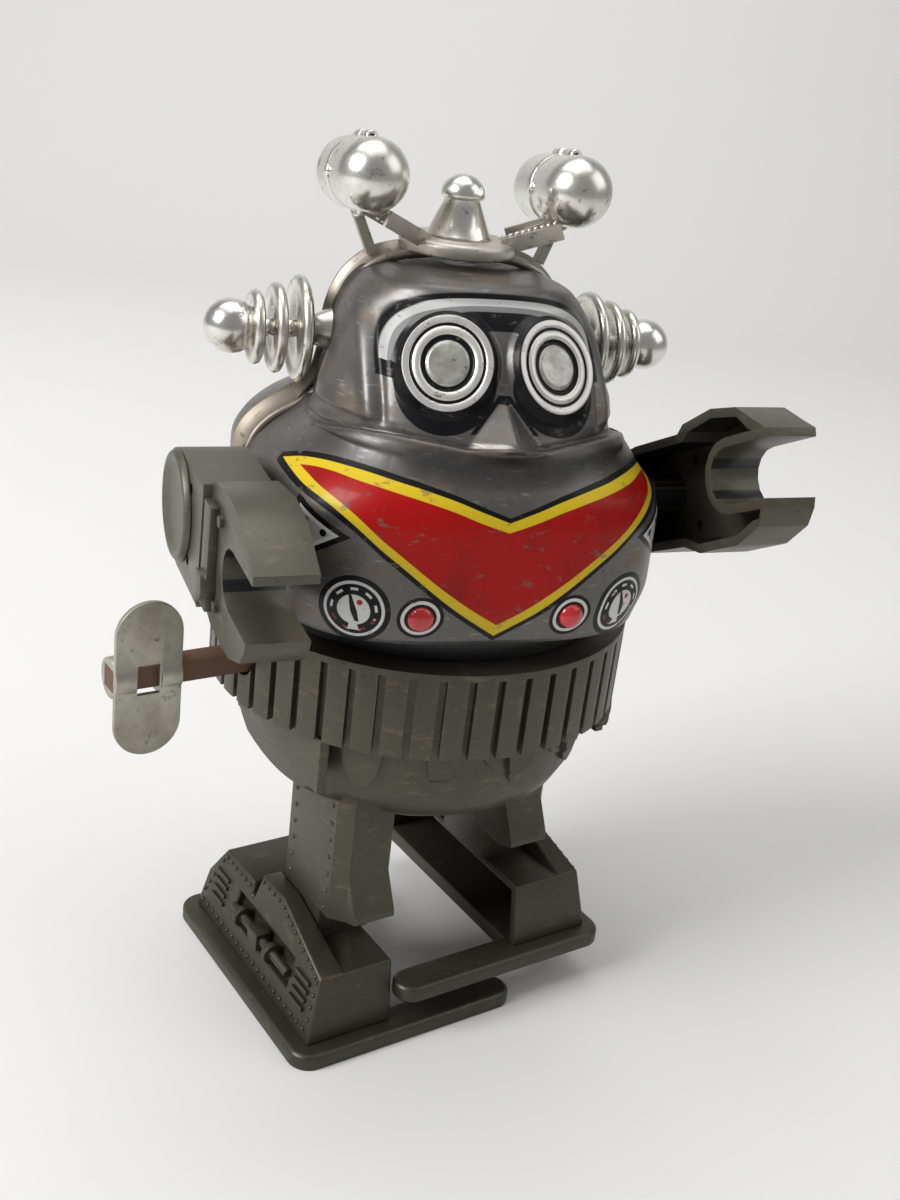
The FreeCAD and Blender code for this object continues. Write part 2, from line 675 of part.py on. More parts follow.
def outline_arm(inset):
    w = inset
    pts = [(-arm_back + w, 0)]
    for k in range(1, 6):
        a = math.radians(180 - k * 18)
        pts.append(((arm_back - w) * math.cos(a), (box_top - w) * math.sin(a)))
    pts += [(box_front + w, box_top - w), (box_front + 1.6 + w, claw_top - 1.0 - w), (21.0, claw_top - w)]
    tip_v = max(claw_top - 3.2 - w * 0.7, jaw_half + w + 0.3)
    pts += [(27.0, claw_top - 0.8 - w), (31.0 - w * 1.2, tip_v)]
    if not w:
        pts.append((claw_tip, jaw_half + 1.2))
    pts += [(claw_tip - w * 2.4, jaw_half + w), (24.0, jaw_half + w)]
    r = jaw_half + w
    back = jaw_depth_u + jaw_half
    for k in range(1, 8):
        a = math.radians(90 + k * 22.5)
        pts.append((back + r * math.cos(a), r * math.sin(a)))
    pts += [(24.0, -jaw_half - w), (claw_tip - 1.0 - w, -jaw_half - w), (claw_tip - 1.4 - w, -jaw_half - 1.4 - w * 0.9)]
    pts += [(30.5 - w, claw_bottom + 2.4 + w * 0.7), (25.5, claw_bottom + 0.4 + w), (16.0, claw_bottom + w)]
    pts += [(box_front, box_bottom + w), (0, box_bottom + w)]
    for k in range(1, 5):
        a = math.radians(-90 - k * 18)
        pts.append(((arm_back - w) * math.cos(a), (-box_bottom - w) * math.sin(a)))
    return [local(u, v) for u, v in pts]


def arm_shell():
    outer = prism_x(outline_arm(0), arm_inner, arm_outer)
    inner = prism_x(outline_arm(arm_wall), arm_inner - 1, arm_outer - arm_wall * 2)
    body = outer.cut(inner)
    y0 = local(60, 0)[0]
    y1 = local(box_front + 0.6, 0)[0]
    body = body.cut(box(claw_outer, arm_outer + 1, y0, y1, shoulder_z - 40, shoulder_z + 40))
    y, z = local(0, 0)
    post = cyl(axle_r + 1.6, V(arm_inner + 1.2, y, z), V(arm_outer - arm_wall, y, z))
    body = body.fuse(post)
    for u, v in HOLES:
        py, pz = local(u, v)
        body = body.cut(cyl(rivet_r, V(arm_inner - 1, py, pz), V(arm_outer + 1, py, pz)))
    body = body.cut(cyl(axle_r + fit, V(arm_inner - 1, y, z), V(arm_outer + 1, y, z)))
    return body.removeSplitter()


HOLES = [(-5.6, 4.2), (6.2, 4.8), (-5.6, -4.4), (6.2, -5.2)]


def shoulder_disc():
    y, z = local(0, 0)
    x = arm_outer
    pts = [(x, 0), (x, disc_r), (x + disc_t, disc_r - 0.5), (x + disc_t, disc_r - 1.3),
           (x + disc_t * 0.45, disc_r - 2.4), (x + disc_t * 0.3, 0)]
    return revolve_x(pts, y, z)


def forearm_strap():
    """The raised strip and its round boss on the outer side, behind the claw."""
    y, z = local(box_front + 3.2, 0)
    strip = box(claw_outer, claw_outer + 1.2, y - 1.6, y + 1.6, z - 7.6, z + 6.6)
    y, z = local(box_front + 3.2, -4.4)
    boss = cyl(2.1, V(claw_outer, y, z), V(claw_outer + 2.0, y, z))
    return fuse([strip, boss])


def claw_rivets():
    out = []
    for u, v in ((box_front + 6.6, 5.6), (box_front + 6.6, -6.0)):
        y, z = local(u, v)
        out.append(cyl(rivet_r, V(claw_outer - 1.0, y, z), V(claw_outer + 0.6, y, z)))
    return out


def place_arm(shape, side):
    angle = left_arm_angle if side == "left" else right_arm_angle
    if side == "right":
        shape = mirrored(shape)
    out = turned(shape, V(0, shoulder_y, shoulder_z), V(1, 0, 0), -angle)
    out = turned(out, V(0, shoulder_y, shoulder_z), V(0, 0, 1), arm_skew)
    return in_body(out)


def make_arms():
    rivets = claw_rivets()
    shell = arm_shell()
    for tool in rivets:
        shell = shell.cut(tool)
    pieces = {"arm": shell, "shoulder_disc": shoulder_disc(), "forearm_strap": forearm_strap(),
              "claw_rivets": Part.makeCompound(rivets)}
    for side in ("right", "left"):
        for name, shape in pieces.items():
            add(name + "_" + side, place_arm(shape, side))
    add("shoulder_axle", in_body(axle_rod(axle_r, arm_outer - gap)))


make_leg_sets()
make_motor()
make_crank()
make_key()
make_pelvis()
make_ring()
make_collar()
make_shells()
make_headgear()
make_arms()

for name, shape in NODES.items():
    solids = shape.Solids
    print(f"{name:24s} solids {len(solids)} volume {sum(k.Volume for k in solids):9.1f} valid {shape.isValid()}")
    out = solids[0] if len(solids) == 1 else Part.makeCompound(solids)
    out.exportStep(f"parts/{name}.step")
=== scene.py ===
import bmesh
import bpy
import json
import math
import numpy as np
from mathutils import Matrix, Vector
from mathutils.bvhtree import BVHTree

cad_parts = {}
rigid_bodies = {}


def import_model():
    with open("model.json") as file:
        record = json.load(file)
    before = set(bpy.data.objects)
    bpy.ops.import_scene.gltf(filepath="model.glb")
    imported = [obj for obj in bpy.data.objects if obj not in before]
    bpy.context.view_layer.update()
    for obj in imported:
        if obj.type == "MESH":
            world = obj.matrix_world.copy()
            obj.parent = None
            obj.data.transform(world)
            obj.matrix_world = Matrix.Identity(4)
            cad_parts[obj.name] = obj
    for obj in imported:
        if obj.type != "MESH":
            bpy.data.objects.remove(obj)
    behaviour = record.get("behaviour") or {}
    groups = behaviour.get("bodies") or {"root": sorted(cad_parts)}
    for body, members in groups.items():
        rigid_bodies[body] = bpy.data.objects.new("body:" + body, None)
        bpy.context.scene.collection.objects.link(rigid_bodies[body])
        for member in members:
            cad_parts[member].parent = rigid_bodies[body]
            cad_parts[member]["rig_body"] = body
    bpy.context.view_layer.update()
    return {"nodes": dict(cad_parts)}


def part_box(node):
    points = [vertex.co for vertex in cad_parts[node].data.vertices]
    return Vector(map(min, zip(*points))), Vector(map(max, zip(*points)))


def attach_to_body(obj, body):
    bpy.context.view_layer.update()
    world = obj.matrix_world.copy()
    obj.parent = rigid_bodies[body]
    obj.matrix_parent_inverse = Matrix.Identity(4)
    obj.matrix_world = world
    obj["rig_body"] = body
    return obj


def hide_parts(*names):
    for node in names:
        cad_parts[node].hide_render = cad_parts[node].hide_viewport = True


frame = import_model()
nodes = frame["nodes"]
print("frame loaded:", len(nodes), "nodes")

mm = 0.001
sides = ((-1, "right"), (1, "left"))
footLift = {"right": 0.0, "left": 6.8}     # the left foot is up for a step
waistTurn = -15.3      # degrees, the upper body at rest


# meshes
def turnZ(points, degrees):
    a = math.radians(degrees)
    out = np.array(points, float)
    x, y = out[..., 0].copy(), out[..., 1].copy()
    out[..., 0] = x * math.cos(a) - y * math.sin(a)
    out[..., 1] = x * math.sin(a) + y * math.cos(a)
    return out


def fromBody(points):
    # upper body millimetres to scene metres
    return turnZ(points, waistTurn) * mm


def newObject(name, verts, faces, material, smooth=True):
    mesh = bpy.data.meshes.new(name)
    mesh.from_pydata([tuple(v) for v in verts], [], [tuple(f) for f in faces])
    mesh.materials.append(material)
    mesh.validate()
    if smooth:
        mesh.polygons.foreach_set("use_smooth", [True] * len(mesh.polygons))
    obj = bpy.data.objects.new(name, mesh)
    bpy.context.scene.collection.objects.link(obj)
    return obj


def settle(obj):
    # the evaluated result becomes the object's own plain mesh
    graph = bpy.context.evaluated_depsgraph_get()
    graph.update()
    mesh = bpy.data.meshes.new_from_object(obj.evaluated_get(graph))
    obj.modifiers.clear()
    obj.data = mesh
    return obj


def gridFaces(rows, cols, wrap=False):
    faces = []
    last = cols if wrap else cols - 1
    for r in range(rows - 1):
        for c in range(last):
            d = (c + 1) % cols
            faces.append((r * cols + c, r * cols + d, (r + 1) * cols + d, (r + 1) * cols + c))
    return faces


def lathe(name, profile, origin, axis, material, steps=48):
    # profile: (radius, height along the axis) from the bottom pole to the top pole, millimetres
    origin, axis = Vector(origin), Vector(axis).normalized()
    turn = axis.to_track_quat("Z", "Y")
    verts, faces, rings = [], [], []
    for r, h in profile:
        if r < 1e-6:
            rings.append([len(verts)])
            verts.append(origin + turn @ Vector((0, 0, h)))
        else:
            rings.append(list(range(len(verts), len(verts) + steps)))
            for i in range(steps):
                a = math.tau * i / steps
                verts.append(origin + turn @ Vector((r * math.cos(a), r * math.sin(a), h)))
    for low, high in zip(rings, rings[1:]):
        for i in range(steps):
            j = (i + 1) % steps
            ring = [low[i % len(low)], low[j % len(low)], high[j % len(high)], high[i % len(high)]]
            faces.append(tuple(dict.fromkeys(ring)))
    return newObject(name, [v * mm for v in verts], [f for f in faces if len(f) > 2], material)


def joined(name, objects):
    verts, faces, slots, materials = [], [], [], []
    for o in objects:
        base = len(verts)
        verts += [tuple(v.co) for v in o.data.vertices]
        faces += [tuple(base + i for i in p.vertices) for p in o.data.polygons]
        if o.data.materials[0] not in materials:
            materials.append(o.data.materials[0])
        slots += [materials.index(o.data.materials[0])] * len(o.data.polygons)
        bpy.data.objects.remove(o)
    out = newObject(name, verts, faces, materials[0])
    for m in materials[1:]:
        out.data.materials.append(m)
    out.data.polygons.foreach_set("material_index", slots)
    return out


# shader helpers
class Shade:
    def __init__(self, name):
        self.material = bpy.data.materials.new(name)
        self.material.use_nodes = True
        self.tree = self.material.node_tree
        self.surface = next(n for n in self.tree.nodes if n.type == "BSDF_PRINCIPLED")
        coords = self.tree.nodes.new("ShaderNodeTexCoord")
        self.point = coords.outputs["Object"]

    def put(self, socket, value):
        if isinstance(value, bpy.types.NodeSocket):
            self.tree.links.new(value, socket)
        elif socket.type == "RGBA" and len(value) == 3:
            socket.default_value = (*value, 1)
        else:
            socket.default_value = value

    def node(self, kind, **values):
        n = self.tree.nodes.new(kind)
        for key, value in values.items():
            self.put(n.inputs[key], value)
        return n

    def math(self, op, a, b=0.0, c=0.0, clamp=False):
        n = self.tree.nodes.new("ShaderNodeMath")
        n.operation = op
        n.use_clamp = clamp
        for socket, value in zip(n.inputs, (a, b, c)):
            self.put(socket, value)
        return n.outputs[0]

    def below(self, a, limit, soft=0.06):
        # 1 where a is under limit, with a soft edge
        return self.math("MULTIPLY_ADD", self.math("SUBTRACT", limit, a), 1 / soft, 0.5, clamp=True)

    def both(self, *masks):
        out = masks[0]
        for m in masks[1:]:
            out = self.math("MULTIPLY", out, m)
        return out

    def either(self, *masks):
        out = masks[0]
        for m in masks[1:]:
            out = self.math("MAXIMUM", out, m)
        return out

    def within(self, a, low, high, soft=0.06):
        return self.both(self.below(low, a, soft), self.below(a, high, soft))

    def mix(self, amount, a, b):
        n = self.tree.nodes.new("ShaderNodeMix")
        n.data_type = "RGBA"
        self.put(n.inputs["Factor"], amount)
        self.put(n.inputs["A"], a)
        self.put(n.inputs["B"], b)
        return n.outputs["Result"]

    def blend(self, amount, a, b):
        n = self.tree.nodes.new("ShaderNodeMix")
        self.put(n.inputs["Factor"], amount)
        self.put(n.inputs["A"], a)
        self.put(n.inputs["B"], b)
        return n.outputs["Result"]

    def noise(self, scale, detail=4.0, rough=0.55, stretch=(1, 1, 1), vector=None):
        where = self.node("ShaderNodeMapping", Vector=vector or self.point, Scale=stretch)
        n = self.node("ShaderNodeTexNoise", Vector=where.outputs[0], Scale=scale, Detail=detail,
                      Roughness=rough)
        return n.outputs["Fac"]

    def spots(self, scale, size):
        n = self.node("ShaderNodeTexVoronoi", Vector=self.point, Scale=scale)
        return self.below(n.outputs["Distance"], size, 0.08)

    def curve(self, x, low, high, points, bottom, top):
        # a table of (x, value) pairs as a smooth curve
        n = self.tree.nodes.new("ShaderNodeFloatCurve")
        line = n.mapping.curves[0]
        flat = [((px - low) / (high - low), (v - bottom) / (top - bottom)) for px, v in points]
        while len(line.points) < len(flat):
            line.points.new(0.5, 0.5)
        for p, (a, b) in zip(line.points, flat):
            p.location = (a, b)
        n.mapping.update()
        unit = self.math("MULTIPLY_ADD", x, 1 / (high - low), -low / (high - low), clamp=True)
        self.put(n.inputs["Value"], unit)
        return self.math("MULTIPLY_ADD", n.outputs[0], top - bottom, bottom)

    def bump(self, height, strength, distance):
        n = self.node("ShaderNodeBump", Height=height, Strength=strength, Distance=distance)
        return n.outputs[0]

    def finish(self, color, metallic=0.0, roughness=0.5, normal=None, coat=0.0):
        self.put(self.surface.inputs["Base Color"], color)
        self.put(self.surface.inputs["Metallic"], metallic)
        self.put(self.surface.inputs["Roughness"], roughness)
        self.put(self.surface.inputs["Coat Weight"], coat)
        self.surface.inputs["Coat Roughness"].default_value = 0.12
        if normal:
            self.put(self.surface.inputs["Normal"], normal)
        return self.material


# plain finishes
def wornMetal(name, base, stain, dark, metallic, rough, stainAmount, darkAmount):
    s = Shade(name)
    cloud = s.noise(90, 6, 0.65)
    fine = s.noise(700, 3, 0.6)
    stainMask = s.math("MULTIPLY", s.below(0.5, cloud, 0.25), stainAmount)
    darkMask = s.math("MULTIPLY", s.below(0.62, s.noise(170, 8, 0.75), 0.06), darkAmount)
    color = s.mix(stainMask, base, stain)
    color = s.mix(darkMask, color, dark)
    color = s.mix(s.math("MULTIPLY", s.below(0.66, fine, 0.06), 0.5), color, dark)
    roughness = s.blend(s.either(stainMask, darkMask), rough, min(rough + 0.3, 0.8))
    roughness = s.math("ADD", roughness, s.math("MULTIPLY", fine, 0.08))
    return s.finish(color, metallic, roughness, s.bump(fine, 0.12, 0.0001))


def paintedPlastic(name, base, pale, dust, metallic=0.6, rough=0.4):
    s = Shade(name)
    cloud = s.noise(55, 6, 0.6)
    grain = s.noise(2600, 2, 0.5)
    scuff = s.below(0.6, s.noise(240, 8, 0.7, (1, 1, 3)), 0.1)
    color = s.mix(s.math("MULTIPLY", cloud, 0.7), base, pale)
    color = s.mix(s.math("MULTIPLY", scuff, 0.45), color, dust)
    color = s.mix(s.math("MULTIPLY", s.below(0.62, grain, 0.08), 0.35), color, pale)
    color = s.mix(s.math("MULTIPLY", s.spots(420, 0.09), 0.5), color, (0.03, 0.027, 0.022))
    roughness = s.math("MULTIPLY_ADD", cloud, 0.2, rough - 0.08)
    return s.finish(color, metallic, roughness, s.bump(grain, 0.1, 0.00006))


finishes = {
    "grey_plastic": paintedPlastic("grey plastic", (0.058, 0.053, 0.04), (0.11, 0.101, 0.076),
                                   (0.17, 0.135, 0.088)),
    "feet": paintedPlastic("grey plastic, dark", (0.04, 0.036, 0.027), (0.08, 0.072, 0.053),
                           (0.13, 0.1, 0.063)),
    # painted light: the arms get a paler copy of the grey plastic
    "arms": paintedPlastic("grey plastic, painted lighter", (0.074, 0.069, 0.054), (0.135, 0.126, 0.098),
                           (0.19, 0.152, 0.1)),
    "black_plastic": paintedPlastic("black plastic", (0.008, 0.008, 0.009), (0.014, 0.014, 0.015),
                                    (0.03, 0.027, 0.024), 0.0, 0.3),
    "plated": wornMetal("worn plating", (0.78, 0.77, 0.74), (0.52, 0.46, 0.37), (0.1, 0.085, 0.07), 1.0, 0.16,
                        0.35, 0.55),
    "dull_plated": wornMetal("dull plating", (0.62, 0.6, 0.56), (0.4, 0.34, 0.26), (0.1, 0.08, 0.06), 0.9,
                             0.3, 0.6, 0.6),
    "band": wornMetal("grey band", (0.4, 0.385, 0.35), (0.3, 0.24, 0.18), (0.07, 0.06, 0.05), 0.8, 0.3,
                      0.7, 0.5),
    "steel": wornMetal("plain steel", (0.5, 0.5, 0.5), (0.36, 0.3, 0.24), (0.1, 0.08, 0.06), 1.0, 0.34,
                       0.4, 0.4),
    "brass": wornMetal("brass", (0.72, 0.55, 0.26), (0.45, 0.3, 0.14), (0.15, 0.1, 0.05), 1.0, 0.3, 0.4, 0.3),
    "rusty_steel": wornMetal("rusted steel", (0.13, 0.075, 0.05), (0.2, 0.1, 0.055), (0.03, 0.02, 0.016), 0.5,
                             0.5, 0.8, 0.8),
    "key_steel": wornMetal("speckled steel", (0.42, 0.4, 0.35), (0.26, 0.24, 0.19), (0.1, 0.09, 0.07), 0.85,
                           0.36, 0.8, 0.9),
}
print("plain finishes made")


# the printed body front
body = {
    # height, half width, depth forward, depth to the rear, squareness
    "rows": [(71, 28.4, 31.2, 26, 3.2), (76, 29.6, 32.6, 28, 3.2), (87.5, 29.4, 32.4, 28, 3.2),
             (90.5, 27.6, 31.8, 26.6, 3.2), (93, 25, 30.4, 24.6, 3.2), (95, 22, 28.6, 22.4, 3.0),
             (98, 19.2, 26.6, 20.4, 2.5), (104, 18, 24, 18.8, 2.5), (108.5, 17.2, 21.8, 17.2, 2.5),
             (112.5, 15.6, 19.4, 15.2, 2.7), (115, 13, 17, 12.6, 3), (115.8, 10.8, 15, 10.6, 3)],
    "seam": 1.4,
    "thickness": 0.5,
    "brow": [(95, 0.16), (101, 0.19), (106, 0.13), (112, 0.05), (116, 0.02)],  # wider in front of the ears
    "eye": (7.79, 106.7, 16.0, 27.0),   # across, height, degrees outward, degrees upward
    "eyeScale": (0.915, 0.975),
    "nose": (102.9, 96.4, 4.7, 5.4),    # top, bottom, how far out, half width at the bottom
    "crease": [(0, 96.8), (10, 97.0), (20, 97.5), (30, 97.7), (40, 97.4), (50, 96.7), (60, 96.0), (75, 95.7),
               (90, 97.2)],
    "ledge": 1.6,
    "button": (10.69, 75.2),
    "gauge": (19.2, 75.62),
    "badgeScale": 0.94,
    "top": 115.8,
    "roof": (0.86, 0.68, 0.48, 0.26, 0.05),
}


def smoothRows():
    # the table above, blended over a few millimetres of height
    rows = np.array(body["rows"])
    z = np.arange(71, body["top"] + 0.01, 0.2)
    weight = np.exp(-(np.arange(-8, 9) / 5.0) ** 2)
    table = [z]
    for i in (1, 2, 3, 4):
        line = np.interp(z, rows[:, 0], rows[:, i])
        padded = np.concatenate([2 * line[0] - line[8:0:-1], line, 2 * line[-1] - line[-2:-10:-1]])
        table.append(np.convolve(padded, weight / weight.sum(), "valid"))
    return table


rowTable = smoothRows()


def bodyRow(z):
    return [np.interp(z, rowTable[0], column) for column in rowTable[1:]]


def bodySurface(angle, z):
    # angle in degrees from straight ahead, towards +X
    half, ahead, behind, power = bodyRow(z)
    a = np.radians(angle)
    s, c = np.sin(a), np.cos(a)
    k = np.clip(c / 0.5, 0, 1)
    k = k * k * (3 - 2 * k)
    head = np.clip((z - 95) / 4, 0, 1)
    brow = np.interp(z, *np.array(body["brow"]).T)
    half = half * (1 + brow * k * head)
    depth = np.where(c > 0, ahead, behind)
    r = ((np.abs(s) / half) ** power + (np.abs(c) / depth) ** power) ** (-1 / power)
    return np.stack([r * s, -r * c, z + 0 * r], -1)


def smoothStep(low, high, v):
    t = np.clip((v - low) / (high - low), 0, 1)
    return t * t * (3 - 2 * t)


def eyeFrame(side):
    x, z, out, up = body["eye"]
    o, u = math.radians(out), math.radians(up)
    normal = np.array((side * math.sin(o) * math.cos(u), -math.cos(o) * math.cos(u), math.sin(u)))
    across = np.array((math.cos(o), side * math.sin(o), 0.0))
    upward = np.cross(normal, across) * -1
    if upward[2] < 0:
        upward = -upward
    ahead = bodyRow(z)[1]
    angle = math.degrees(math.asin(x / math.hypot(x, ahead)))
    centre = bodySurface(np.array(side * angle), np.array(float(z)))
    return centre, normal, across, upward


def eyeHeight(r):
    ring = np.sqrt(np.clip(1 - ((r - 4.48) / 0.74) ** 2, 0, 1))
    disc = 0.34 * (1 - smoothStep(2.85, 3.15, r))
    rim = 0.32 * smoothStep(5.3, 5.6, r) * (1 - smoothStep(6.5, 6.95, r))
    return 0.12 + disc + 0.42 * ring + rim - 0.12 * smoothStep(6.6, 7.0, r)


def bodyShell(name, grid, material):
    # a thin wall, closed at the top of the head by rows drawn in toward the middle of the seam
    roof = []
    for f in body["roof"]:
        row = grid[-1].copy()
        row[:, 0] *= f
        row[:, 1] = body["seam"] + (row[:, 1] - body["seam"]) * f
        row[:, 2] = body["top"] + 0.35 * (1 - f * f)
        roof.append(row)
    grid = np.concatenate([grid, np.array(roof)])
    obj = newObject(name, fromBody(grid.reshape(-1, 3)), gridFaces(*grid.shape[:2]), material)
    shell = obj.modifiers.new("wall", "SOLIDIFY")
    shell.thickness = body["thickness"] * mm
    shell.offset = -1
    return settle(obj)


def makeBodyFront(material):
    z = np.concatenate([np.arange(71, 92, 0.75), np.arange(92, body["top"], 0.27), [body["top"]]])
    side = np.arange(48, 90, 1.3)
    angle = np.concatenate([-90 + 0 * side[:1], -side[::-1], np.arange(-47.6, 47.7, 0.4), side, [90]])
    grid = bodySurface(angle[None, :], z[:, None])
    normal = np.cross(np.gradient(grid, axis=1), np.gradient(grid, axis=0))
    normal /= np.linalg.norm(normal, axis=2, keepdims=True)
    x, high = grid[..., 0], z[:, None] + 0 * grid[..., 0]
    away = np.abs(angle)[None, :] + 0 * x

    crease = np.interp(away, *np.array(body["crease"]).T)
    d = high - crease
    lift = -0.45 * np.exp(-(d / 0.3) ** 2)
    ledge = smoothStep(0.05, -0.8, d) * smoothStep(-4.6, -1.2, d)
    lift = lift + body["ledge"] * ledge * (1 - smoothStep(48, 80, away))

    # a raised edge round the face
    edge = (np.abs(x) / 16.4) ** 5 + (np.clip(high - 103.5, 0, 99) / 11.2) ** 5
    q = (edge ** 0.2 - 1) * 15
    lift = lift + 0.5 * np.exp(-((q - 0.5) / 0.75) ** 2) * smoothStep(97.6, 99.5, high)
    lift = lift - 0.35 * np.exp(-((q + 0.9) / 0.5) ** 2) * smoothStep(97.6, 99.5, high)
    grid = grid + normal * lift[..., None]

    top, bottom, out, wide = body["nose"]
    drop = np.clip((top - high) / (top - bottom), 0, 1.3)
    width = 0.5 + wide * drop
    slope = np.clip(1 - np.abs(x) / width, 0, 1)
    under = smoothStep(bottom - 0.7, bottom + 0.35, high)
    ridge = 0.45 * slope + 0.275 * (1 - np.cos(math.pi * slope))
    nose = out * np.clip(drop, 0, 1) * ridge * under
    grid = grid + nose[..., None] * np.array((0, -0.94, 0.34))

    for s in (-1, 1):
        centre, facing, across, upward = eyeFrame(s)
        rel = grid - centre
        u, v, w = rel @ across / body["eyeScale"][0], rel @ upward / body["eyeScale"][1], rel @ facing
        r = np.hypot(u, v)
        hold = 1 - smoothStep(6.7, 8.0, r)
        grid = grid + ((eyeHeight(r) * (r < 7.2) + 0.25 - w) * hold)[..., None] * facing

    # the seam columns end on one straight line
    grid[:, [0, -1], 1] = body["seam"]
    return bodyShell("bodyFront", grid, material)


def printedTin(name, withPrint):
    s = Shade(name)
    turn = s.node("ShaderNodeMapping", Vector=s.point, Rotation=(0, 0, math.radians(-waistTurn)),
                  Scale=(1000, 1000, 1000))
    cloud = s.noise(38, 6, 0.6)
    fine = s.noise(900, 4, 0.7)
    scuff = s.below(0.56, s.noise(130, 9, 0.72, (1, 1, 1.8)), 0.1)
    scratch = s.below(0.68, s.noise(420, 2, 0.4, (1, 1, 6)), 0.05)
    steelGrey = s.mix(cloud, (0.08, 0.078, 0.079), (0.15, 0.142, 0.132))
    brown = s.math("MULTIPLY", s.both(scuff, s.below(0.42, cloud, 0.3)), 0.6)
    color = s.mix(brown, steelGrey, (0.17, 0.12, 0.075))
    color = s.mix(s.math("MULTIPLY", s.below(0.64, fine, 0.05), 0.5), color, (0.035, 0.03, 0.026))
    color = s.mix(s.math("MULTIPLY", scratch, 0.2), color, (0.5, 0.48, 0.45))
    printMask = 0.0
    if withPrint:
        color, printMask, silver = addPrint(s, turn.outputs[0], color)
        wear = s.both(s.below(0.61, s.noise(300, 8, 0.75, (1, 1, 2)), 0.04), printMask)
        color = s.mix(s.math("MULTIPLY", wear, 0.65), color, (0.12, 0.09, 0.075))
        metallic = s.blend(printMask, 0.62, s.math("MULTIPLY", silver, 0.75))
    else:
        metallic = 0.62
    roughness = s.math("MULTIPLY_ADD", fine, 0.16, s.blend(scuff, 0.3, 0.42))
    s.put(s.surface.inputs["Specular IOR Level"], s.blend(printMask, 0.5, 0.14))
    return s.finish(color, metallic, roughness, s.bump(fine, 0.06, 0.00008), 0.1)


red, yellow, black, white = (0.33, 0.004, 0.003), (0.58, 0.42, 0.015), (0.004, 0.004, 0.005), (0.6, 0.6, 0.57)
chevron = {
    # angle from the middle, height, for the upper and the lower edge of the yellow, and of the red
    "yellowTop": [(0, 88.6), (6, 89.8), (15, 91.5), (27, 92.9), (40, 93.4), (53, 92.7), (63, 91.2), (70, 90)],
    "yellowBottom": [(0, 72.3), (12, 77.0), (26.5, 83.6), (38.4, 88.4), (51.7, 90.3), (63, 91.2), (70, 91.6)],
    "redTop": [(0, 87.3), (6, 88.4), (15, 90.2), (26.6, 91.7), (36, 92.3), (45, 92.4), (54.5, 91.6),
               (70, 89)],
    "redBottom": [(0, 74.1), (12, 78.5), (26.7, 85.0), (36.1, 88.9), (47.9, 91.0), (54.5, 91.6), (70, 92.6)],
    "outline": 0.65,
}


def localPlane(s, point, centre, across, upward):
    # distances across and up from a centre, in a plane of its own
    rel = s.tree.nodes.new("ShaderNodeVectorMath")
    rel.operation = "SUBTRACT"
    s.put(rel.inputs[0], point)
    rel.inputs[1].default_value = tuple(float(v) for v in centre)
    out = []
    for axis in (across, upward):
        dot = s.tree.nodes.new("ShaderNodeVectorMath")
        dot.operation = "DOT_PRODUCT"
        s.put(dot.inputs[0], rel.outputs[0])
        dot.inputs[1].default_value = tuple(float(v) for v in axis)
        out.append(dot.outputs["Value"])
    return out


def radius(s, u, v, wide=1.0, tall=1.0):
    a = s.math("DIVIDE", u, wide)
    b = s.math("DIVIDE", v, tall)
    return s.math("SQRT", s.math("ADD", s.math("MULTIPLY", a, a), s.math("MULTIPLY", b, b)))


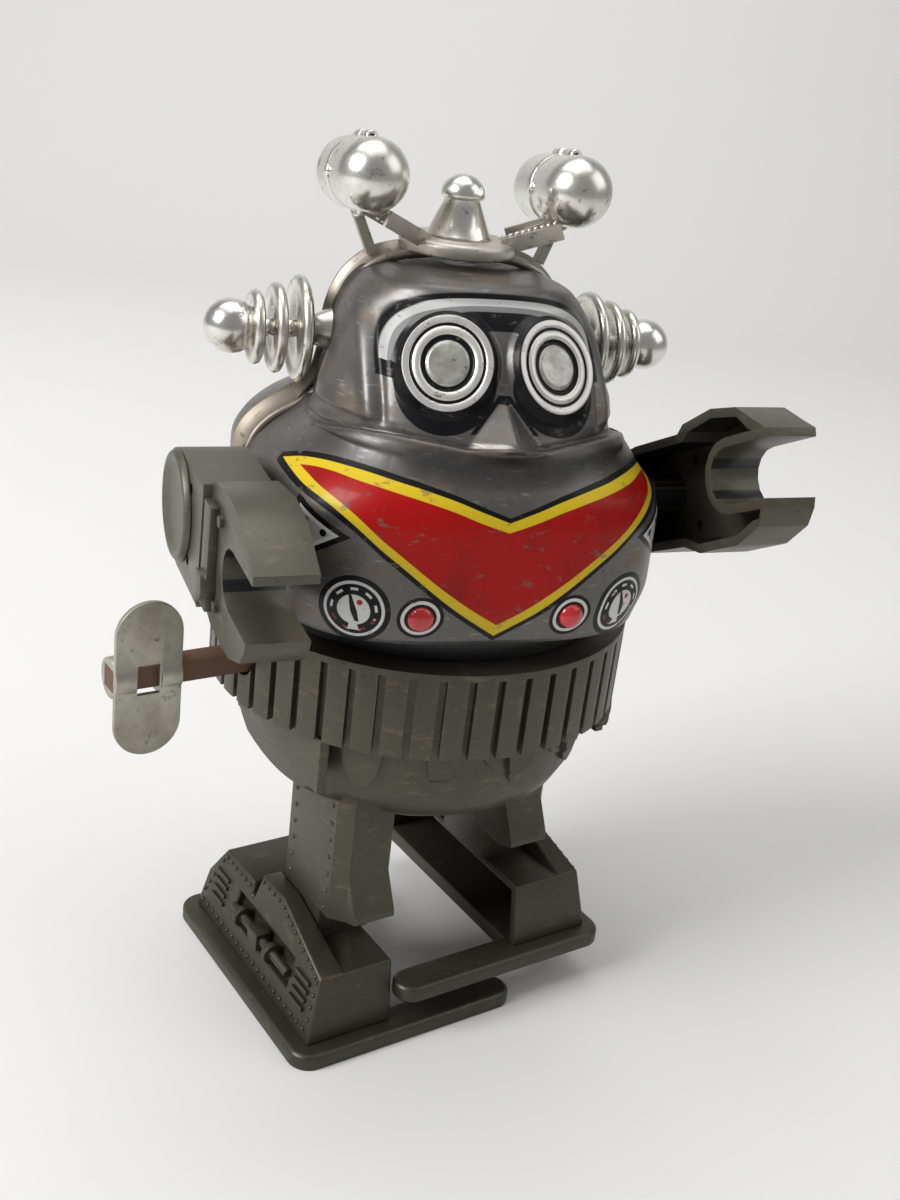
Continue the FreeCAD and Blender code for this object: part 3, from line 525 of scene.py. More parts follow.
def addPrint(s, point, color):
    split = s.node("ShaderNodeSeparateXYZ", Vector=point)
    x, y, z = split.outputs
    off = s.math("ABSOLUTE", x)
    angle = s.math("DEGREES", s.math("ARCTAN2", off, s.math("MULTIPLY", y, -1.0)))
    done = 0.0
    silverMask = 0.0

    def lay(mask, paint, metal=False):
        nonlocal color, done, silverMask
        color = s.mix(mask, color, paint)
        done = s.math("MAXIMUM", done, mask)
        silverMask = s.blend(mask, silverMask, 1.0 if metal else 0.0)

    # painted reflection, shade and shadow: the lip below the face is darkened as painted reflection, painted
    # shade under the nose, a painted shadow along the seam; soot beside the seam
    crease = s.curve(angle, 0, 90, body["crease"], 60, 110)
    # painted reflection: the lip below the face's crease is darkened
    lip = s.both(s.below(z, crease, 0.3), s.below(s.math("SUBTRACT", crease, 3.6), z, 2.4),
                 s.below(angle, 52, 12))
    color = s.mix(s.math("MULTIPLY", lip, 0.62), color, (0.02, 0.02, 0.022))
    top, bottom, _, wide = body["nose"]
    # painted shade: the tin under the nose is darkened
    shaded = s.both(s.below(off, wide * 0.55, 5.5), s.within(z, bottom - 0.9, bottom + 0.1, 0.9))
    color = s.mix(s.math("MULTIPLY", shaded, 0.75), color, (0.012, 0.011, 0.011))
    # painted shadow: near-black along the seam, beside the head band
    color = s.mix(s.math("MULTIPLY", s.below(-1.6, y, 0.5), 0.9), color, (0.01, 0.009, 0.008))
    soot = s.both(s.below(-3.2, y, 1.6), s.below(0.45, s.noise(210, 6, 0.7), 0.15))
    color = s.mix(s.math("MULTIPLY", soot, 0.6), color, (0.05, 0.035, 0.022))

    # mouth
    edges = {k: s.curve(angle, 0, 70, chevron[k], 60, 100) for k in
             ("yellowTop", "yellowBottom", "redTop", "redBottom")}
    line = chevron["outline"]
    outer = s.both(s.below(z, s.math("ADD", edges["yellowTop"], line)),
                   s.below(s.math("SUBTRACT", edges["yellowBottom"], line * 1.25), z), s.below(angle, 65, 1))
    lay(outer, black)
    lay(s.both(s.below(z, edges["yellowTop"]), s.below(edges["yellowBottom"], z), s.below(angle, 63, 0.5)),
        yellow)
    rub = s.noise(160, 7, 0.7, (1, 1, 0.35))
    redPaint = s.mix(s.math("MULTIPLY", s.below(0.54, rub, 0.12), 0.6), red, (0.2, 0.006, 0.005))
    lay(s.both(s.below(z, edges["redTop"]), s.below(edges["redBottom"], z), s.below(angle, 54.5, 0.5)),
        redPaint)

    # goggle band
    def arch(a, b):
        u = s.math("POWER", s.math("DIVIDE", off, a), 2.85)
        v = s.math("POWER", s.math("MAXIMUM", s.math("DIVIDE", s.math("SUBTRACT", z, 104.5), b), 0.0), 2.85)
        return s.math("ADD", u, v)
    onFace = s.both(s.below(y, -9.0), s.below(97.9, z), s.below(z, 116.5))
    outerArch, whiteArch, greyArch, innerArch = (arch(*v) for v in
                                                 ((15.9, 10.7), (15.3, 10.0), (14.5, 9.15), (13.9, 8.6)))
    aboveEnds = s.below(106.0, z)
    lay(s.both(onFace, s.below(outerArch, 1, 0.05), s.below(1, innerArch, 0.05), s.below(104.1, z)), black)
    for high, low, paint in ((whiteArch, greyArch, (0.42, 0.42, 0.405)),
                             (greyArch, innerArch, (0.15, 0.15, 0.15))):
        lay(s.both(onFace, s.below(high, 1, 0.03), s.below(1, low, 0.03), aboveEnds), paint)
    filled = s.either(s.below(110.9, z), s.both(s.below(7.8, off), aboveEnds))
    lay(s.both(onFace, s.below(innerArch, 1, 0.03), filled), black)
    lay(s.both(onFace, s.within(off, 12.6, 14.4), s.within(z, 104.3, 106.1)), black)

    # nose edges: painted shadow in black bands along the nose's flanks, and a black bar at its top
    flank = s.math("MULTIPLY_ADD", s.math("SUBTRACT", top, z), wide / (top - bottom), 0.45)
    lay(s.both(s.within(off, flank, s.math("ADD", flank, 0.8)), s.within(z, 98.6, 103.2)), black)
    lay(s.both(s.below(off, 0.9), s.within(z, 102.4, 103.4)), black)

    # eyes
    for side in (-1, 1):
        centre, facing, across, upward = eyeFrame(side)
        wide, tall = body["eyeScale"]
        u, v = localPlane(s, point, centre, across / wide, upward / tall)
        r = radius(s, u, v)
        here = s.both(onFace, s.below(s.math("ABSOLUTE", s.math("SUBTRACT", x, side * 7.8)), 9.5))
        low = radius(s, u, s.math("ADD", v, 2.2), 7.35, 7.4)
        lay(s.both(here, s.either(s.below(low, 1, 0.02), s.below(r, 7.25))), black)
        lay(s.both(here, s.below(r, 6.5)), (0.62, 0.61, 0.58), True)
        lay(s.both(here, s.below(r, 5.5)), black)
        lay(s.both(here, s.below(r, 5.05)), (0.66, 0.64, 0.6), True)
        lay(s.both(here, s.below(r, 3.9)), black)
        smear = s.mix(s.below(0.5, s.noise(500, 5, 0.6), 0.2), (0.5, 0.5, 0.47), (0.36, 0.35, 0.32))
        lay(s.both(here, s.below(r, 3.12)), smear, True)

    # gauges, buttons and vent triangles
    for side in (-1, 1):
        for kind in ("gauge", "button"):
            centre, across, upward = surfaceSpot(side, *body[kind])
            u, v = localPlane(s, point, centre, across / body["badgeScale"], upward / body["badgeScale"])
            r = radius(s, u, v)
            near = s.both(s.below(z, 83.0), s.below(0.0, s.math("MULTIPLY", x, float(side))),
                          s.below(y, -8.0))
            if kind == "button":
                lay(s.both(near, s.below(r, 3.35)), black)
                lay(s.both(near, s.within(r, 2.3, 2.8)), white)
                continue
            lay(s.both(near, s.below(r, 5.2)), black)
            lay(s.both(near, s.within(r, 3.95, 4.4)), white)
            turn = s.math("DEGREES", s.math("ARCTAN2", v, u))
            cell = s.math("FRACT", s.math("MULTIPLY_ADD", turn, 1 / 40, 10.2))
            dash = s.both(near, s.within(r, 3.05, 3.42), s.within(cell, 0.26, 0.74, 0.03))
            low = s.both(s.below(v, -1.2), s.below(-3.2, v))
            lay(dash, s.mix(low, white, (0.2, 0.03, 0.03)))
            lay(s.both(near, s.below(s.math("ABSOLUTE", u), s.math("MULTIPLY_ADD", v, -0.22, 0.1)),
                       s.within(v, -3.3, -2.0)), white)
            lay(s.both(near, s.below(r, 2.38)), white)
            lean = s.math("MULTIPLY_ADD", v, 0.28, u)
            thick = s.math("MULTIPLY_ADD", s.math("ABSOLUTE", s.math("ADD", v, 0.1)), -0.12, 0.5)
            lay(s.both(near, s.below(s.math("ABSOLUTE", lean), thick), s.within(v, -1.8, 2.3)), black)
            dot = radius(s, s.math("SUBTRACT", u, 0.8), s.math("SUBTRACT", v, 1.35))
            lay(s.both(near, s.below(dot, 0.42)), (0.35, 0.02, 0.02))
    arc = s.math("MULTIPLY", angle, 0.6)
    corners = [(48.6 * 0.6, 88.0), (37.6 * 0.6, 85.3), (47.6 * 0.6, 81.4)]
    rims = []
    for (ax, az), (bx, bz) in zip(corners, corners[1:] + corners[:1]):
        size = math.hypot(bx - ax, bz - az)
        nx, nz = (bz - az) / size, -(bx - ax) / size
        rims.append(s.math("ADD", s.math("MULTIPLY", s.math("SUBTRACT", arc, ax), nx),
                           s.math("MULTIPLY", s.math("SUBTRACT", z, az), nz)))
    sign = s.either(*rims)
    lay(s.below(sign, 0.75), black)
    lay(s.below(sign, 0), white)
    lay(s.below(sign, -0.5), (0.42, 0.41, 0.39))
    for ax, az in ((46.2 * 0.6, 86.2), (41.4 * 0.6, 85.2), (46.0 * 0.6, 82.9)):
        spot = radius(s, s.math("SUBTRACT", arc, ax), s.math("SUBTRACT", z, az))
        lay(s.below(spot, 0.5), black)
    return color, done, silverMask


def surfaceSpot(side, across, height):
    # the point of the body at this offset, with directions along the surface
    angles = np.linspace(0, 60, 241)
    line = bodySurface(angles, np.full(241, float(height)))
    i = int(np.argmin(np.abs(line[:, 0] - across)))
    point = line[i] * np.array((side, 1, 1))
    along = (line[i + 1] - line[i - 1]) * np.array((1, side, 1))
    along /= np.linalg.norm(along)
    return point, along, np.array((0, 0, 1.0))


def makeBodyRear(material):
    z = np.concatenate([np.arange(71, body["top"], 0.6), [body["top"]]])
    angle = np.linspace(90, 270, 121)
    grid = bodySurface(angle[None, :], z[:, None])
    grid[:, 0, 1] = grid[:, -1, 1] = body["seam"]
    grid[..., 1] = np.maximum(grid[..., 1], body["seam"])
    return bodyShell("bodyRear", grid, material)


bodyFront = makeBodyFront(printedTin("printed tin front", True))
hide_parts("front_shell")
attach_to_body(bodyFront, "upper_body")
finishes["tin_print"] = printedTin("tin, rear", False)
bodyRear = makeBodyRear(finishes["tin_print"])
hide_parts("rear_shell")
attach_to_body(bodyRear, "upper_body")
print("body front made:", len(bodyFront.data.polygons), "faces")


# every CAD node that stays gets its finish
nodeFinish = {
    "sole": "feet", "foot_housing": "feet", "foot_strut": "feet", "leg": "grey_plastic", "arm": "arms",
    "shoulder_disc": "arms", "forearm_strap": "arms", "claw_rivets": "arms", "pelvis_shell": "grey_plastic",
    "waist_ring": "grey_plastic", "waist_collar": "black_plastic", "collar_clip": "black_plastic",
    "body_floor": "tin_print", "front_shell": "tin_print", "rear_shell": "tin_print", "head_band": "band",
    "crown_plate": "dull_plated",
    "crown_cone": "plated", "pod_front": "plated", "pod_rear": "plated", "pod_strut_front": "dull_plated",
    "pod_strut_rear": "band", "ear": "plated", "key_shaft": "rusty_steel", "key_wing": "key_steel",
    "great_wheel": "brass", "crank_pinion": "steel", "crank_wheel": "brass", "fly_pinion": "steel",
    "governor_fan": "brass", "governor_arbor": "steel", "motor_plate": "steel", "motor_pillars": "steel",
    "pillar_nuts": "steel", "mainspring": "steel", "crank_shaft": "steel", "crank_disc": "steel",
    "shoulder_axle": "steel",
}
for name, obj in nodes.items():
    stem = name.removesuffix("_right").removesuffix("_left")
    obj.data.materials.clear()
    obj.data.materials.append(finishes[nodeFinish[stem]])
print("CAD nodes finished")

# repeated small shapes, grown on points
def groupNode(tree, kind, **values):
    n = tree.nodes.new(kind)
    for key, value in values.items():
        n.inputs[key].default_value = value
    return n


def grow(name, points, facings, alongs, kind, size, material, seed=0):
    # one instance per point: Z of the instance along its facing, X along its along
    mesh = bpy.data.meshes.new(name)
    mesh.from_pydata([tuple(p) for p in points], [], [])
    turns = mesh.attributes.new("turn", "FLOAT_VECTOR", "POINT")
    for i, (facing, along) in enumerate(zip(facings, alongs)):
        zAxis = Vector(facing).normalized()
        xAxis = Vector(along)
        xAxis = (xAxis - zAxis * xAxis.dot(zAxis)).normalized()
        yAxis = zAxis.cross(xAxis)
        euler = Matrix((xAxis, yAxis, zAxis)).transposed().to_euler()
        turns.data[i].vector = tuple(euler)
    obj = bpy.data.objects.new(name, mesh)
    bpy.context.scene.collection.objects.link(obj)
    tree = bpy.data.node_groups.new(name + " nodes", "GeometryNodeTree")
    tree.interface.new_socket("Geometry", in_out="INPUT", socket_type="NodeSocketGeometry")
    tree.interface.new_socket("Geometry", in_out="OUTPUT", socket_type="NodeSocketGeometry")
    wanted = {}
    for label, value in (("Length", size[0]), ("Width", size[1]), ("Height", size[2]), ("Uneven", 0.06)):
        socket = tree.interface.new_socket(label, in_out="INPUT", socket_type="NodeSocketFloat")
        wanted[socket.identifier] = value
    start, end = tree.nodes.new("NodeGroupInput"), tree.nodes.new("NodeGroupOutput")
    if kind == "rivet":
        shape = groupNode(tree, "GeometryNodeMeshUVSphere", Segments=10, Rings=6, Radius=0.5)
    else:
        shape = groupNode(tree, "GeometryNodeMeshCube", Size=(1, 1, 1))
    sizes = tree.nodes.new("ShaderNodeCombineXYZ")
    place = tree.nodes.new("GeometryNodeInstanceOnPoints")
    turn = groupNode(tree, "GeometryNodeInputNamedAttribute", Name="turn")
    turn.data_type = "FLOAT_VECTOR"
    shake = groupNode(tree, "FunctionNodeRandomValue", Seed=seed)
    shake.data_type = "FLOAT"
    low = tree.nodes.new("ShaderNodeMath")
    low.operation = "SUBTRACT"
    low.inputs[0].default_value = 1.0
    scaled = tree.nodes.new("ShaderNodeVectorMath")
    scaled.operation = "SCALE"
    real = tree.nodes.new("GeometryNodeRealizeInstances")
    shade = tree.nodes.new("GeometryNodeSetShadeSmooth")
    shade.inputs["Shade Smooth"].default_value = kind == "rivet"
    paint = groupNode(tree, "GeometryNodeSetMaterial", Material=material)
    link = tree.links.new
    for axis, label in zip("XYZ", ("Length", "Width", "Height")):
        link(start.outputs[label], sizes.inputs[axis])
    link(start.outputs["Uneven"], low.inputs[1])
    floats = [i for i in shake.inputs if i.type == "VALUE" and i.name in ("Min", "Max")]
    link(low.outputs[0], floats[0])
    floats[1].default_value = 1.0
    link(sizes.outputs[0], scaled.inputs[0])
    link([o for o in shake.outputs if o.type == "VALUE"][0], scaled.inputs["Scale"])
    link(start.outputs["Geometry"], place.inputs["Points"])
    link(shape.outputs["Mesh"], place.inputs["Instance"])
    link(turn.outputs["Attribute"], place.inputs["Rotation"])
    link(scaled.outputs[0], place.inputs["Scale"])
    link(place.outputs[0], real.inputs[0])
    link(real.outputs[0], shade.inputs["Geometry"])
    link(shade.outputs[0], paint.inputs["Geometry"])
    link(paint.outputs[0], end.inputs[0])
    modifier = obj.modifiers.new("grow", "NODES")
    modifier.node_group = tree
    for key, value in wanted.items():
        modifier[key] = value
    settle(obj)
    if not obj.data.materials:
        obj.data.materials.append(material)
    return obj


def attach(obj, bodyName):
    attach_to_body(obj, bodyName)
    return obj


def nodeTree(name):
    mesh = nodes[name].data
    return BVHTree.FromPolygons([v.co for v in mesh.vertices], [p.vertices for p in mesh.polygons])


def between(a, b, count):
    return [tuple(a[k] + (b[k] - a[k]) * i / max(count - 1, 1) for k in range(len(a))) for i in range(count)]


# feet: rivet rows and louvres on the outer panels
foot = {
    "rivet": (0.8, 0.8, 0.7),
    # rows of (y, z) on the outer panel: start, end, how many
    "rows": [((-19.6, 4.3), (17.2, 4.3), 20), ((-20.1, 6.2), (-19.5, 12.2), 4),
             ((-18.9, 12.9), (-6.2, 16.9), 9), ((-4.4, 17.1), (1.0, 17.1), 4),
             ((4.6, 14.5), (13.2, 14.5), 6), ((14.2, 13.4), (17.5, 6.2), 5)],
    "louvreCentres": [(-16.2, 8.9), (12.6, 9.3)],
    "louvre": (4.4, 0.62, 0.9), "louvreGap": 1.45, "louvreCount": 4,
}


def makeFootDetails(side, label):
    panel = nodeTree("foot_housing_" + label)
    spots, slots = [], []
    for a, b, count in foot["rows"]:
        spots += between(a, b, count)
    for y, z in foot["louvreCentres"]:
        for i in range(foot["louvreCount"]):
            slots.append((y, z + (i - 1.5) * foot["louvreGap"]))

    def onPanel(y, z):
        start = Vector((side * 0.05, y * mm, (z + footLift[label]) * mm))
        return panel.ray_cast(start, Vector((-side, 0, 0)))

    for kind, places in (("rivet", spots), ("louvre", slots)):
        size = tuple(v * mm for v in foot[kind])
        hits = [onPanel(y, z) for y, z in places]
        hits = [h for h in hits if h[0] is not None and abs(h[0].x) > 0.02]
        points = [h[0] for h in hits]
        normals = [h[1] if h[1].x * side > 0 else -h[1] for h in hits]
        obj = grow(kind + "sFoot_" + label, points, normals, [(0, 1, 0)] * len(points), kind, size,
                   finishes["feet"], 3)
        attach(obj, label + "_leg")


for side, label in sides:
    makeFootDetails(side, label)
print("foot rivets and louvres made")


# legs: rivet lines beside the corners
leg = {"rivet": (0.75, 0.75, 0.6), "low": 20.0, "high": 41.0, "count": 8, "lines": (-12.2, -1.0)}
for side, label in sides:
    panel = nodeTree("leg_" + label)
    points, normals = [], []
    for y in leg["lines"]:
        for _, z in between((0, leg["low"]), (0, leg["high"]), leg["count"]):
            start = Vector((side * 0.05, y * mm, (z + footLift[label]) * mm))
            spot = panel.ray_cast(start, Vector((-side, 0, 0)))[0]
            if spot is not None:
                points.append(spot)
                normals.append(Vector((side, 0, 0)))
    rivets = grow("rivetsLeg_" + label, points, normals, [(0, 1, 0)] * len(points), "rivet",
                  tuple(v * mm for v in leg["rivet"]), finishes["grey_plastic"], 5)
    attach(rivets, label + "_leg")
print("leg rivets made")


# pelvis: round tabs hanging below the ribbed ring
tabs = {"angles": (-46, -21, 4, 29, 52), "half": 6.2, "top": 52.9, "drop": 7.4, "proud": 0.9}


def makePelvisTabs():
    bowl = nodeTree("pelvis_shell")
    verts, faces = [], []
    for middle in tabs["angles"]:
        rows, cols = 11, 13
        base = len(verts)
        for layer in (tabs["proud"], -0.3):
            for r in range(rows):
                for c in range(cols):
                    t = r / (rows - 1)
                    reach = math.sqrt(max(1 - t * t, 0.0)) * 0.92 + 0.08
                    a = math.radians(middle + tabs["half"] * (2 * c / (cols - 1) - 1) * reach)
                    z = tabs["top"] - tabs["drop"] * t
                    out = Vector((math.sin(a), -math.cos(a), 0))
                    spot, facing, _, _ = bowl.ray_cast(out * 0.06 + Vector((0, 0, z * mm)), -out)
                    verts.append(spot + (facing + out).normalized() * layer * mm)
        n = rows * cols
        for r in range(rows - 1):
            for c in range(cols - 1):
                q = [base + r * cols + c, base + r * cols + c + 1, base + (r + 1) * cols + c + 1,
                     base + (r + 1) * cols + c]
                faces.append(q[::-1])
                faces.append([i + n for i in q])
        rim = ([(0, c) for c in range(cols)] + [(r, cols - 1) for r in range(1, rows)]
               + [(rows - 1, c) for c in range(cols - 2, -1, -1)] + [(r, 0) for r in range(rows - 2, 0, -1)])
        loop = [base + r * cols + c for r, c in rim]
        for i, j in zip(loop, loop[1:] + loop[:1]):
            faces.append((i, j, j + n, i + n))
    return newObject("pelvisTabs", verts, faces, finishes["grey_plastic"], smooth=False)


attach(makePelvisTabs(), "hips")
print("pelvis tabs made")


# head band: a channel with raised edges, over the seam of the body
band = {
    # half width and height of the outer edge, from the shoulder up to the crown
    "front": [(28.2, 84.4), (28.7, 86.5), (27.4, 90.5), (24.9, 93), (21.3, 94.7), (18.8, 96.6), (17.4, 99.9),
              (17.2, 104.2), (16.7, 108.2), (15.3, 112), (12.7, 115), (8.7, 116.6), (4, 117.1), (0, 117.2)],
    "rear": [(29.6, 85.6), (29.6, 87.9), (28.9, 90.9), (26.3, 93.4), (22.1, 96), (19.4, 97.9), (18.2, 100.8),
             (18, 105.1), (17.5, 109.4), (15.8, 113.4), (12.3, 116.5), (8.2, 117.6), (4, 117.9), (0, 118)],
    "frontY": -0.7, "rearY": 3.5, "thickness": 1.15, "stand": 0.75,
    # place across the width, sink below the edges
    "section": [(0, 0.3), (0.03, 0.0), (0.12, 0.0), (0.2, 0.45), (0.5, 0.55), (0.8, 0.45), (0.9, 0.0),
                (0.97, 0.0), (1, 0.3)],
}


def smoothLine(points, count):
    pts = np.array(points, float)
    t = np.concatenate([[0], np.cumsum(np.hypot(*np.diff(pts, axis=0).T))])
    at = np.linspace(0, t[-1], count)
    out = np.stack([np.interp(at, t, pts[:, 0]), np.interp(at, t, pts[:, 1])], 1)
    for _ in range(6):
        out[1:-1] = (out[:-2] + 2 * out[1:-1] + out[2:]) / 4
    return out


def makeBand():
    steps = 70
    ahead, behind = smoothLine(band["front"], steps), smoothLine(band["rear"], steps)
    ahead = np.concatenate([ahead, ahead[-2::-1] * (-1, 1)])
    behind = np.concatenate([behind, behind[-2::-1] * (-1, 1)])
    middle = (ahead + behind) / 2
    along = np.gradient(middle, axis=0)
    along /= np.linalg.norm(along, axis=1, keepdims=True)
    outward = np.stack([along[:, 1], -along[:, 0]], 1)
    rings = []
    section = band["section"]
    for i in range(len(middle)):
        ring = []
        for layer in (0, 1):
            for w, sink in (section if layer == 0 else section[::-1]):
                p = ahead[i] * (1 - w) + behind[i] * w
                p = p + outward[i] * (band["stand"] - (sink if layer == 0 else band["thickness"]))
                ring.append((p[0], band["frontY"] + (band["rearY"] - band["frontY"]) * w, p[1]))
        rings.append(ring)
    rings = np.array(rings)
    rows, cols = rings.shape[:2]
    verts = fromBody(rings.reshape(-1, 3))
    faces = gridFaces(rows, cols, wrap=True)
    faces += [tuple(range(cols))[::-1], tuple((rows - 1) * cols + i for i in range(cols))]
    return newObject("headBand", verts, faces, finishes["band"])


headBand = makeBand()
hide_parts("head_band")
attach(headBand, "upper_body")
print("head band made")


# crown: cone with a domed knob
crown = {"foot": 4.7, "neck": 2.5, "knob": 3.15, "lip": 0.3}


def crownProfile():
    low, high = (corner.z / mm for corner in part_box("crown_cone"))
    brim = high - crown["knob"] + 0.2
    line = [(0, low), (crown["foot"], low), (crown["foot"], low + 0.25), (crown["foot"] - 0.2, low + 0.4),
            (crown["neck"], brim - 0.5), (crown["neck"] + 0.1, brim - 0.3),
            (crown["knob"] - 0.2, brim - 0.32), (crown["knob"], brim - 0.1)]
    for i in range(1, 11):
        a = math.radians(90 * i / 10)
        line.append((max(crown["knob"] * math.cos(a), 0), brim + (high - brim) * math.sin(a)))
    line[-1] = (0, high)
    return line


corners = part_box("crown_cone")
middle = (corners[0] + corners[1]) / 2 / mm
cone = lathe("crownKnob", crownProfile(), (middle.x, middle.y, 0), (0, 0, 1), finishes["plated"], 64)
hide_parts("crown_cone")
attach(cone, "upper_body")
print("crown made")


# ears: turned spindles with rimmed discs
ear = {"height": 105.3, "y": 1.4, "root": (3.3, 2.8), "stub": 1.25, "ball": 3.8, "tip": 35.4,
       "discs": [(22.1, 7.5), (25.4, 6.3), (28.3, 5.2)], "rim": 0.78}


def earProfile():
    k = ear["rim"]
    line = [(0, 16.6), (ear["root"][0], 16.6), (ear["root"][0] * 0.96, 17.6), (ear["root"][1] * 0.8, 19.6),
            (ear["stub"] * 1.5, 20.6), (ear["stub"], 20.9)]
    for h, r in ear["discs"]:
        line += [(ear["stub"], h - 0.34), (r - 2.2 * k, h - 0.3)]
        for i in range(9):
            a = math.radians(-150 + 300 * i / 8)
            line.append((r - k + k * math.cos(a), h + k * math.sin(a)))
        line += [(r - 2.2 * k, h + 0.3), (ear["stub"], h + 0.34)]
    centre = ear["tip"] - ear["ball"]
    line += [(ear["stub"], centre - ear["ball"] - 0.1), (ear["stub"] * 1.9, centre - ear["ball"] + 0.05)]
    for i in range(1, 13):
        a = math.radians(-55 + 145 * i / 12)
        line.append((max(ear["ball"] * math.cos(a), 0), centre + ear["ball"] * math.sin(a)))
    line[-1] = (0, ear["tip"])
    return line


for side, label in sides:
    origin = fromBody([(0, ear["y"], ear["height"])])[0] / mm
    axis = turnZ([(side, 0, 0)], waistTurn)[0]
    spindle = lathe("earSpindle_" + label, earProfile(), origin, axis, finishes["plated"])
    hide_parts("ear_" + label)
    attach(spindle, "upper_body")
print("ears made")


# chest buttons
button = {"radius": 1.75, "height": 0.95}


def redPlastic():
    s = Shade("red button")
    color = s.mix(s.noise(300, 4, 0.6), (0.55, 0.02, 0.02), (0.4, 0.012, 0.012))
    return s.finish(color, 0.0, 0.16, s.bump(s.noise(900, 2), 0.05, 0.00005), 0.5)


buttonFinish = redPlastic()
for side, label in sides:
    spot, along, _ = surfaceSpot(side, *body["button"])
    facing = np.array((-along[1], along[0], 0))
    facing = facing if facing[1] < 0 else -facing
    r, h = button["radius"], button["height"]
    line = [(0, -0.3), (r, -0.3), (r, 0.1)]
    line += [(r * math.cos(a), 0.1 + h * math.sin(a)) for a in np.linspace(0.15, 1.45, 8)] + [(0, h + 0.1)]
    origin = fromBody([spot])[0] / mm
    dome = lathe("button_" + label, line, origin, turnZ([facing], waistTurn)[0], buttonFinish, 32)
    attach(dome, "upper_body")
print("buttons made")


# pods: capsule halves with lugs, side nubs, and beads and rails along the front struts
pod = {"centre": (14.8, 1.4, 127.0), "radius": 4.95, "length": 21.0, "pitch": 0.09, "nub": (0.9, 0.7),
       "topLug": (0.9, 7.2), "lowLug": (0.75, 5.0), "ends": 12,
       "bead": (0.95, 0.95, 0.8), "beads": 9}


def podProfile():
    # one half of a capsule, from a closed wall at the middle seam out to the end
    r, reach = pod["radius"], pod["length"] / 2 - pod["radius"]
    line = [(0, 0), (r - 0.15, 0), (r, 0.15)] + [(r, reach * k / 4) for k in range(1, 5)]
    for i in range(1, pod["ends"] + 1):
        a = math.pi / 2 * i / pod["ends"]
        line.append((r * math.cos(a) if i < pod["ends"] else 0, reach + r * math.sin(a)))
    return line


def makePod(side, label):
    x, y, z = pod["centre"]
    r = pod["radius"]
    for face, half in ((-1, "front"), (1, "rear")):
        forward = turnZ([(0, face, -face * pod["pitch"])], waistTurn)[0]
        middle = fromBody([(side * x, y, z)])[0] / mm
        parts = [lathe("podHalf", podProfile(), middle, forward, finishes["plated"], 64)]
        for (lug, long), up in ((pod["topLug"], 1), (pod["lowLug"], -1)):
            start = fromBody([(side * x, y, z + up * (r - 0.15))])[0] / mm
            end = long / 2
            line = [(0, 0), (lug, 0), (lug, end - 0.2), (lug - 0.2, end), (lug * 0.55, end),
                    (lug * 0.5, end - 1.4), (0, end - 1.4)]
            parts.append(lathe("lug", line, start, forward, finishes["plated"], 24))
        piece = joined("pod_" + half + "_shell_" + label, parts)
        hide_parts("pod_" + half + "_" + label)
        attach(piece, "upper_body")


for side, label in sides:
    makePod(side, label)
print("pods made")

for side, label in sides:
    x, y, z = pod["centre"]
    r, h = pod["nub"]
    parts = []
    for face in (-1, 1):
        origin = fromBody([(side * x + face * (pod["radius"] - 0.25), y - 0.4, z)])[0] / mm
        axis = turnZ([(face, 0, 0)], waistTurn)[0]
        parts.append(lathe("nub", [(0, -0.6), (r, -0.6), (r, h * 0.5), (r * 0.6, h), (0, h)], origin, axis,
                           finishes["plated"], 20))
    attach(joined("nubsPod_" + label, parts), "upper_body")

    strut = np.array([v.co for v in nodes["pod_strut_front_" + label].data.vertices])
    centre = strut.mean(0)
    _, _, axes = np.linalg.svd(strut - centre, full_matrices=False)
    reach = (strut - centre) @ axes[0]
    flat = axes[2] * (1 if axes[2][2] > 0 else -1)
    thick = ((strut - centre) @ flat).max()
    wide = ((strut - centre) @ axes[1]).max()
    points = [centre + axes[0] * t + flat * thick * k for k in (-1, 1)
              for t in np.linspace(reach.min() * 0.8, reach.max() * 0.8, pod["beads"])]
    beads = grow("beadsStrut_" + label, points, [flat] * len(points), [axes[0]] * len(points), "rivet",
                 tuple(v * mm for v in pod["bead"]), finishes["dull_plated"], 7)
    attach(beads, "upper_body")
    length = (reach.max() - reach.min()) * 0.94
    rails = grow("railsStrut_" + label, [centre + axes[1] * wide * k for k in (-0.85, 0.85)], [flat] * 2,
                 [axes[0]] * 2, "rail", (length, 0.55 * mm, 2 * thick + 1.2 * mm), finishes["dull_plated"], 7)
    attach(rails, "upper_body")
print("pod details made")


# moulded pieces: the same shapes with softened edges
soft = {"widths": {"sole": 0.5, "foot_housing": 0.4, "leg": 0.45, "arm": 0.85, "waist_ring": 0.25,
                   "pelvis_shell": 0.35, "forearm_strap": 0.35, "key_wing": 0.25, "crown_plate": 0.4,
                   "shoulder_disc": 0.3, "foot_strut": 0.15},
        "angle": 32.0, "smoothAngle": 42.0,
        # widest gap that counts as the inside of a hollow arm, and the open jaw between, metres
        "deepest": 0.0236, "jaw": (0.0074, 0.0088)}


def blackenInside(obj, tree):
    # bare black plastic inside each hollow arm
    obj.data.materials.append(finishes["black_plastic"])
    slots = []
    for p in obj.data.polygons:
        spot, _, _, distance = tree.ray_cast(p.center + p.normal * 0.00005, p.normal)
        jaw = spot is not None and soft["jaw"][0] < distance < soft["jaw"][1]
        slots.append(1 if spot is not None and distance < soft["deepest"] and not jaw else 0)
    obj.data.polygons.foreach_set("material_index", slots)


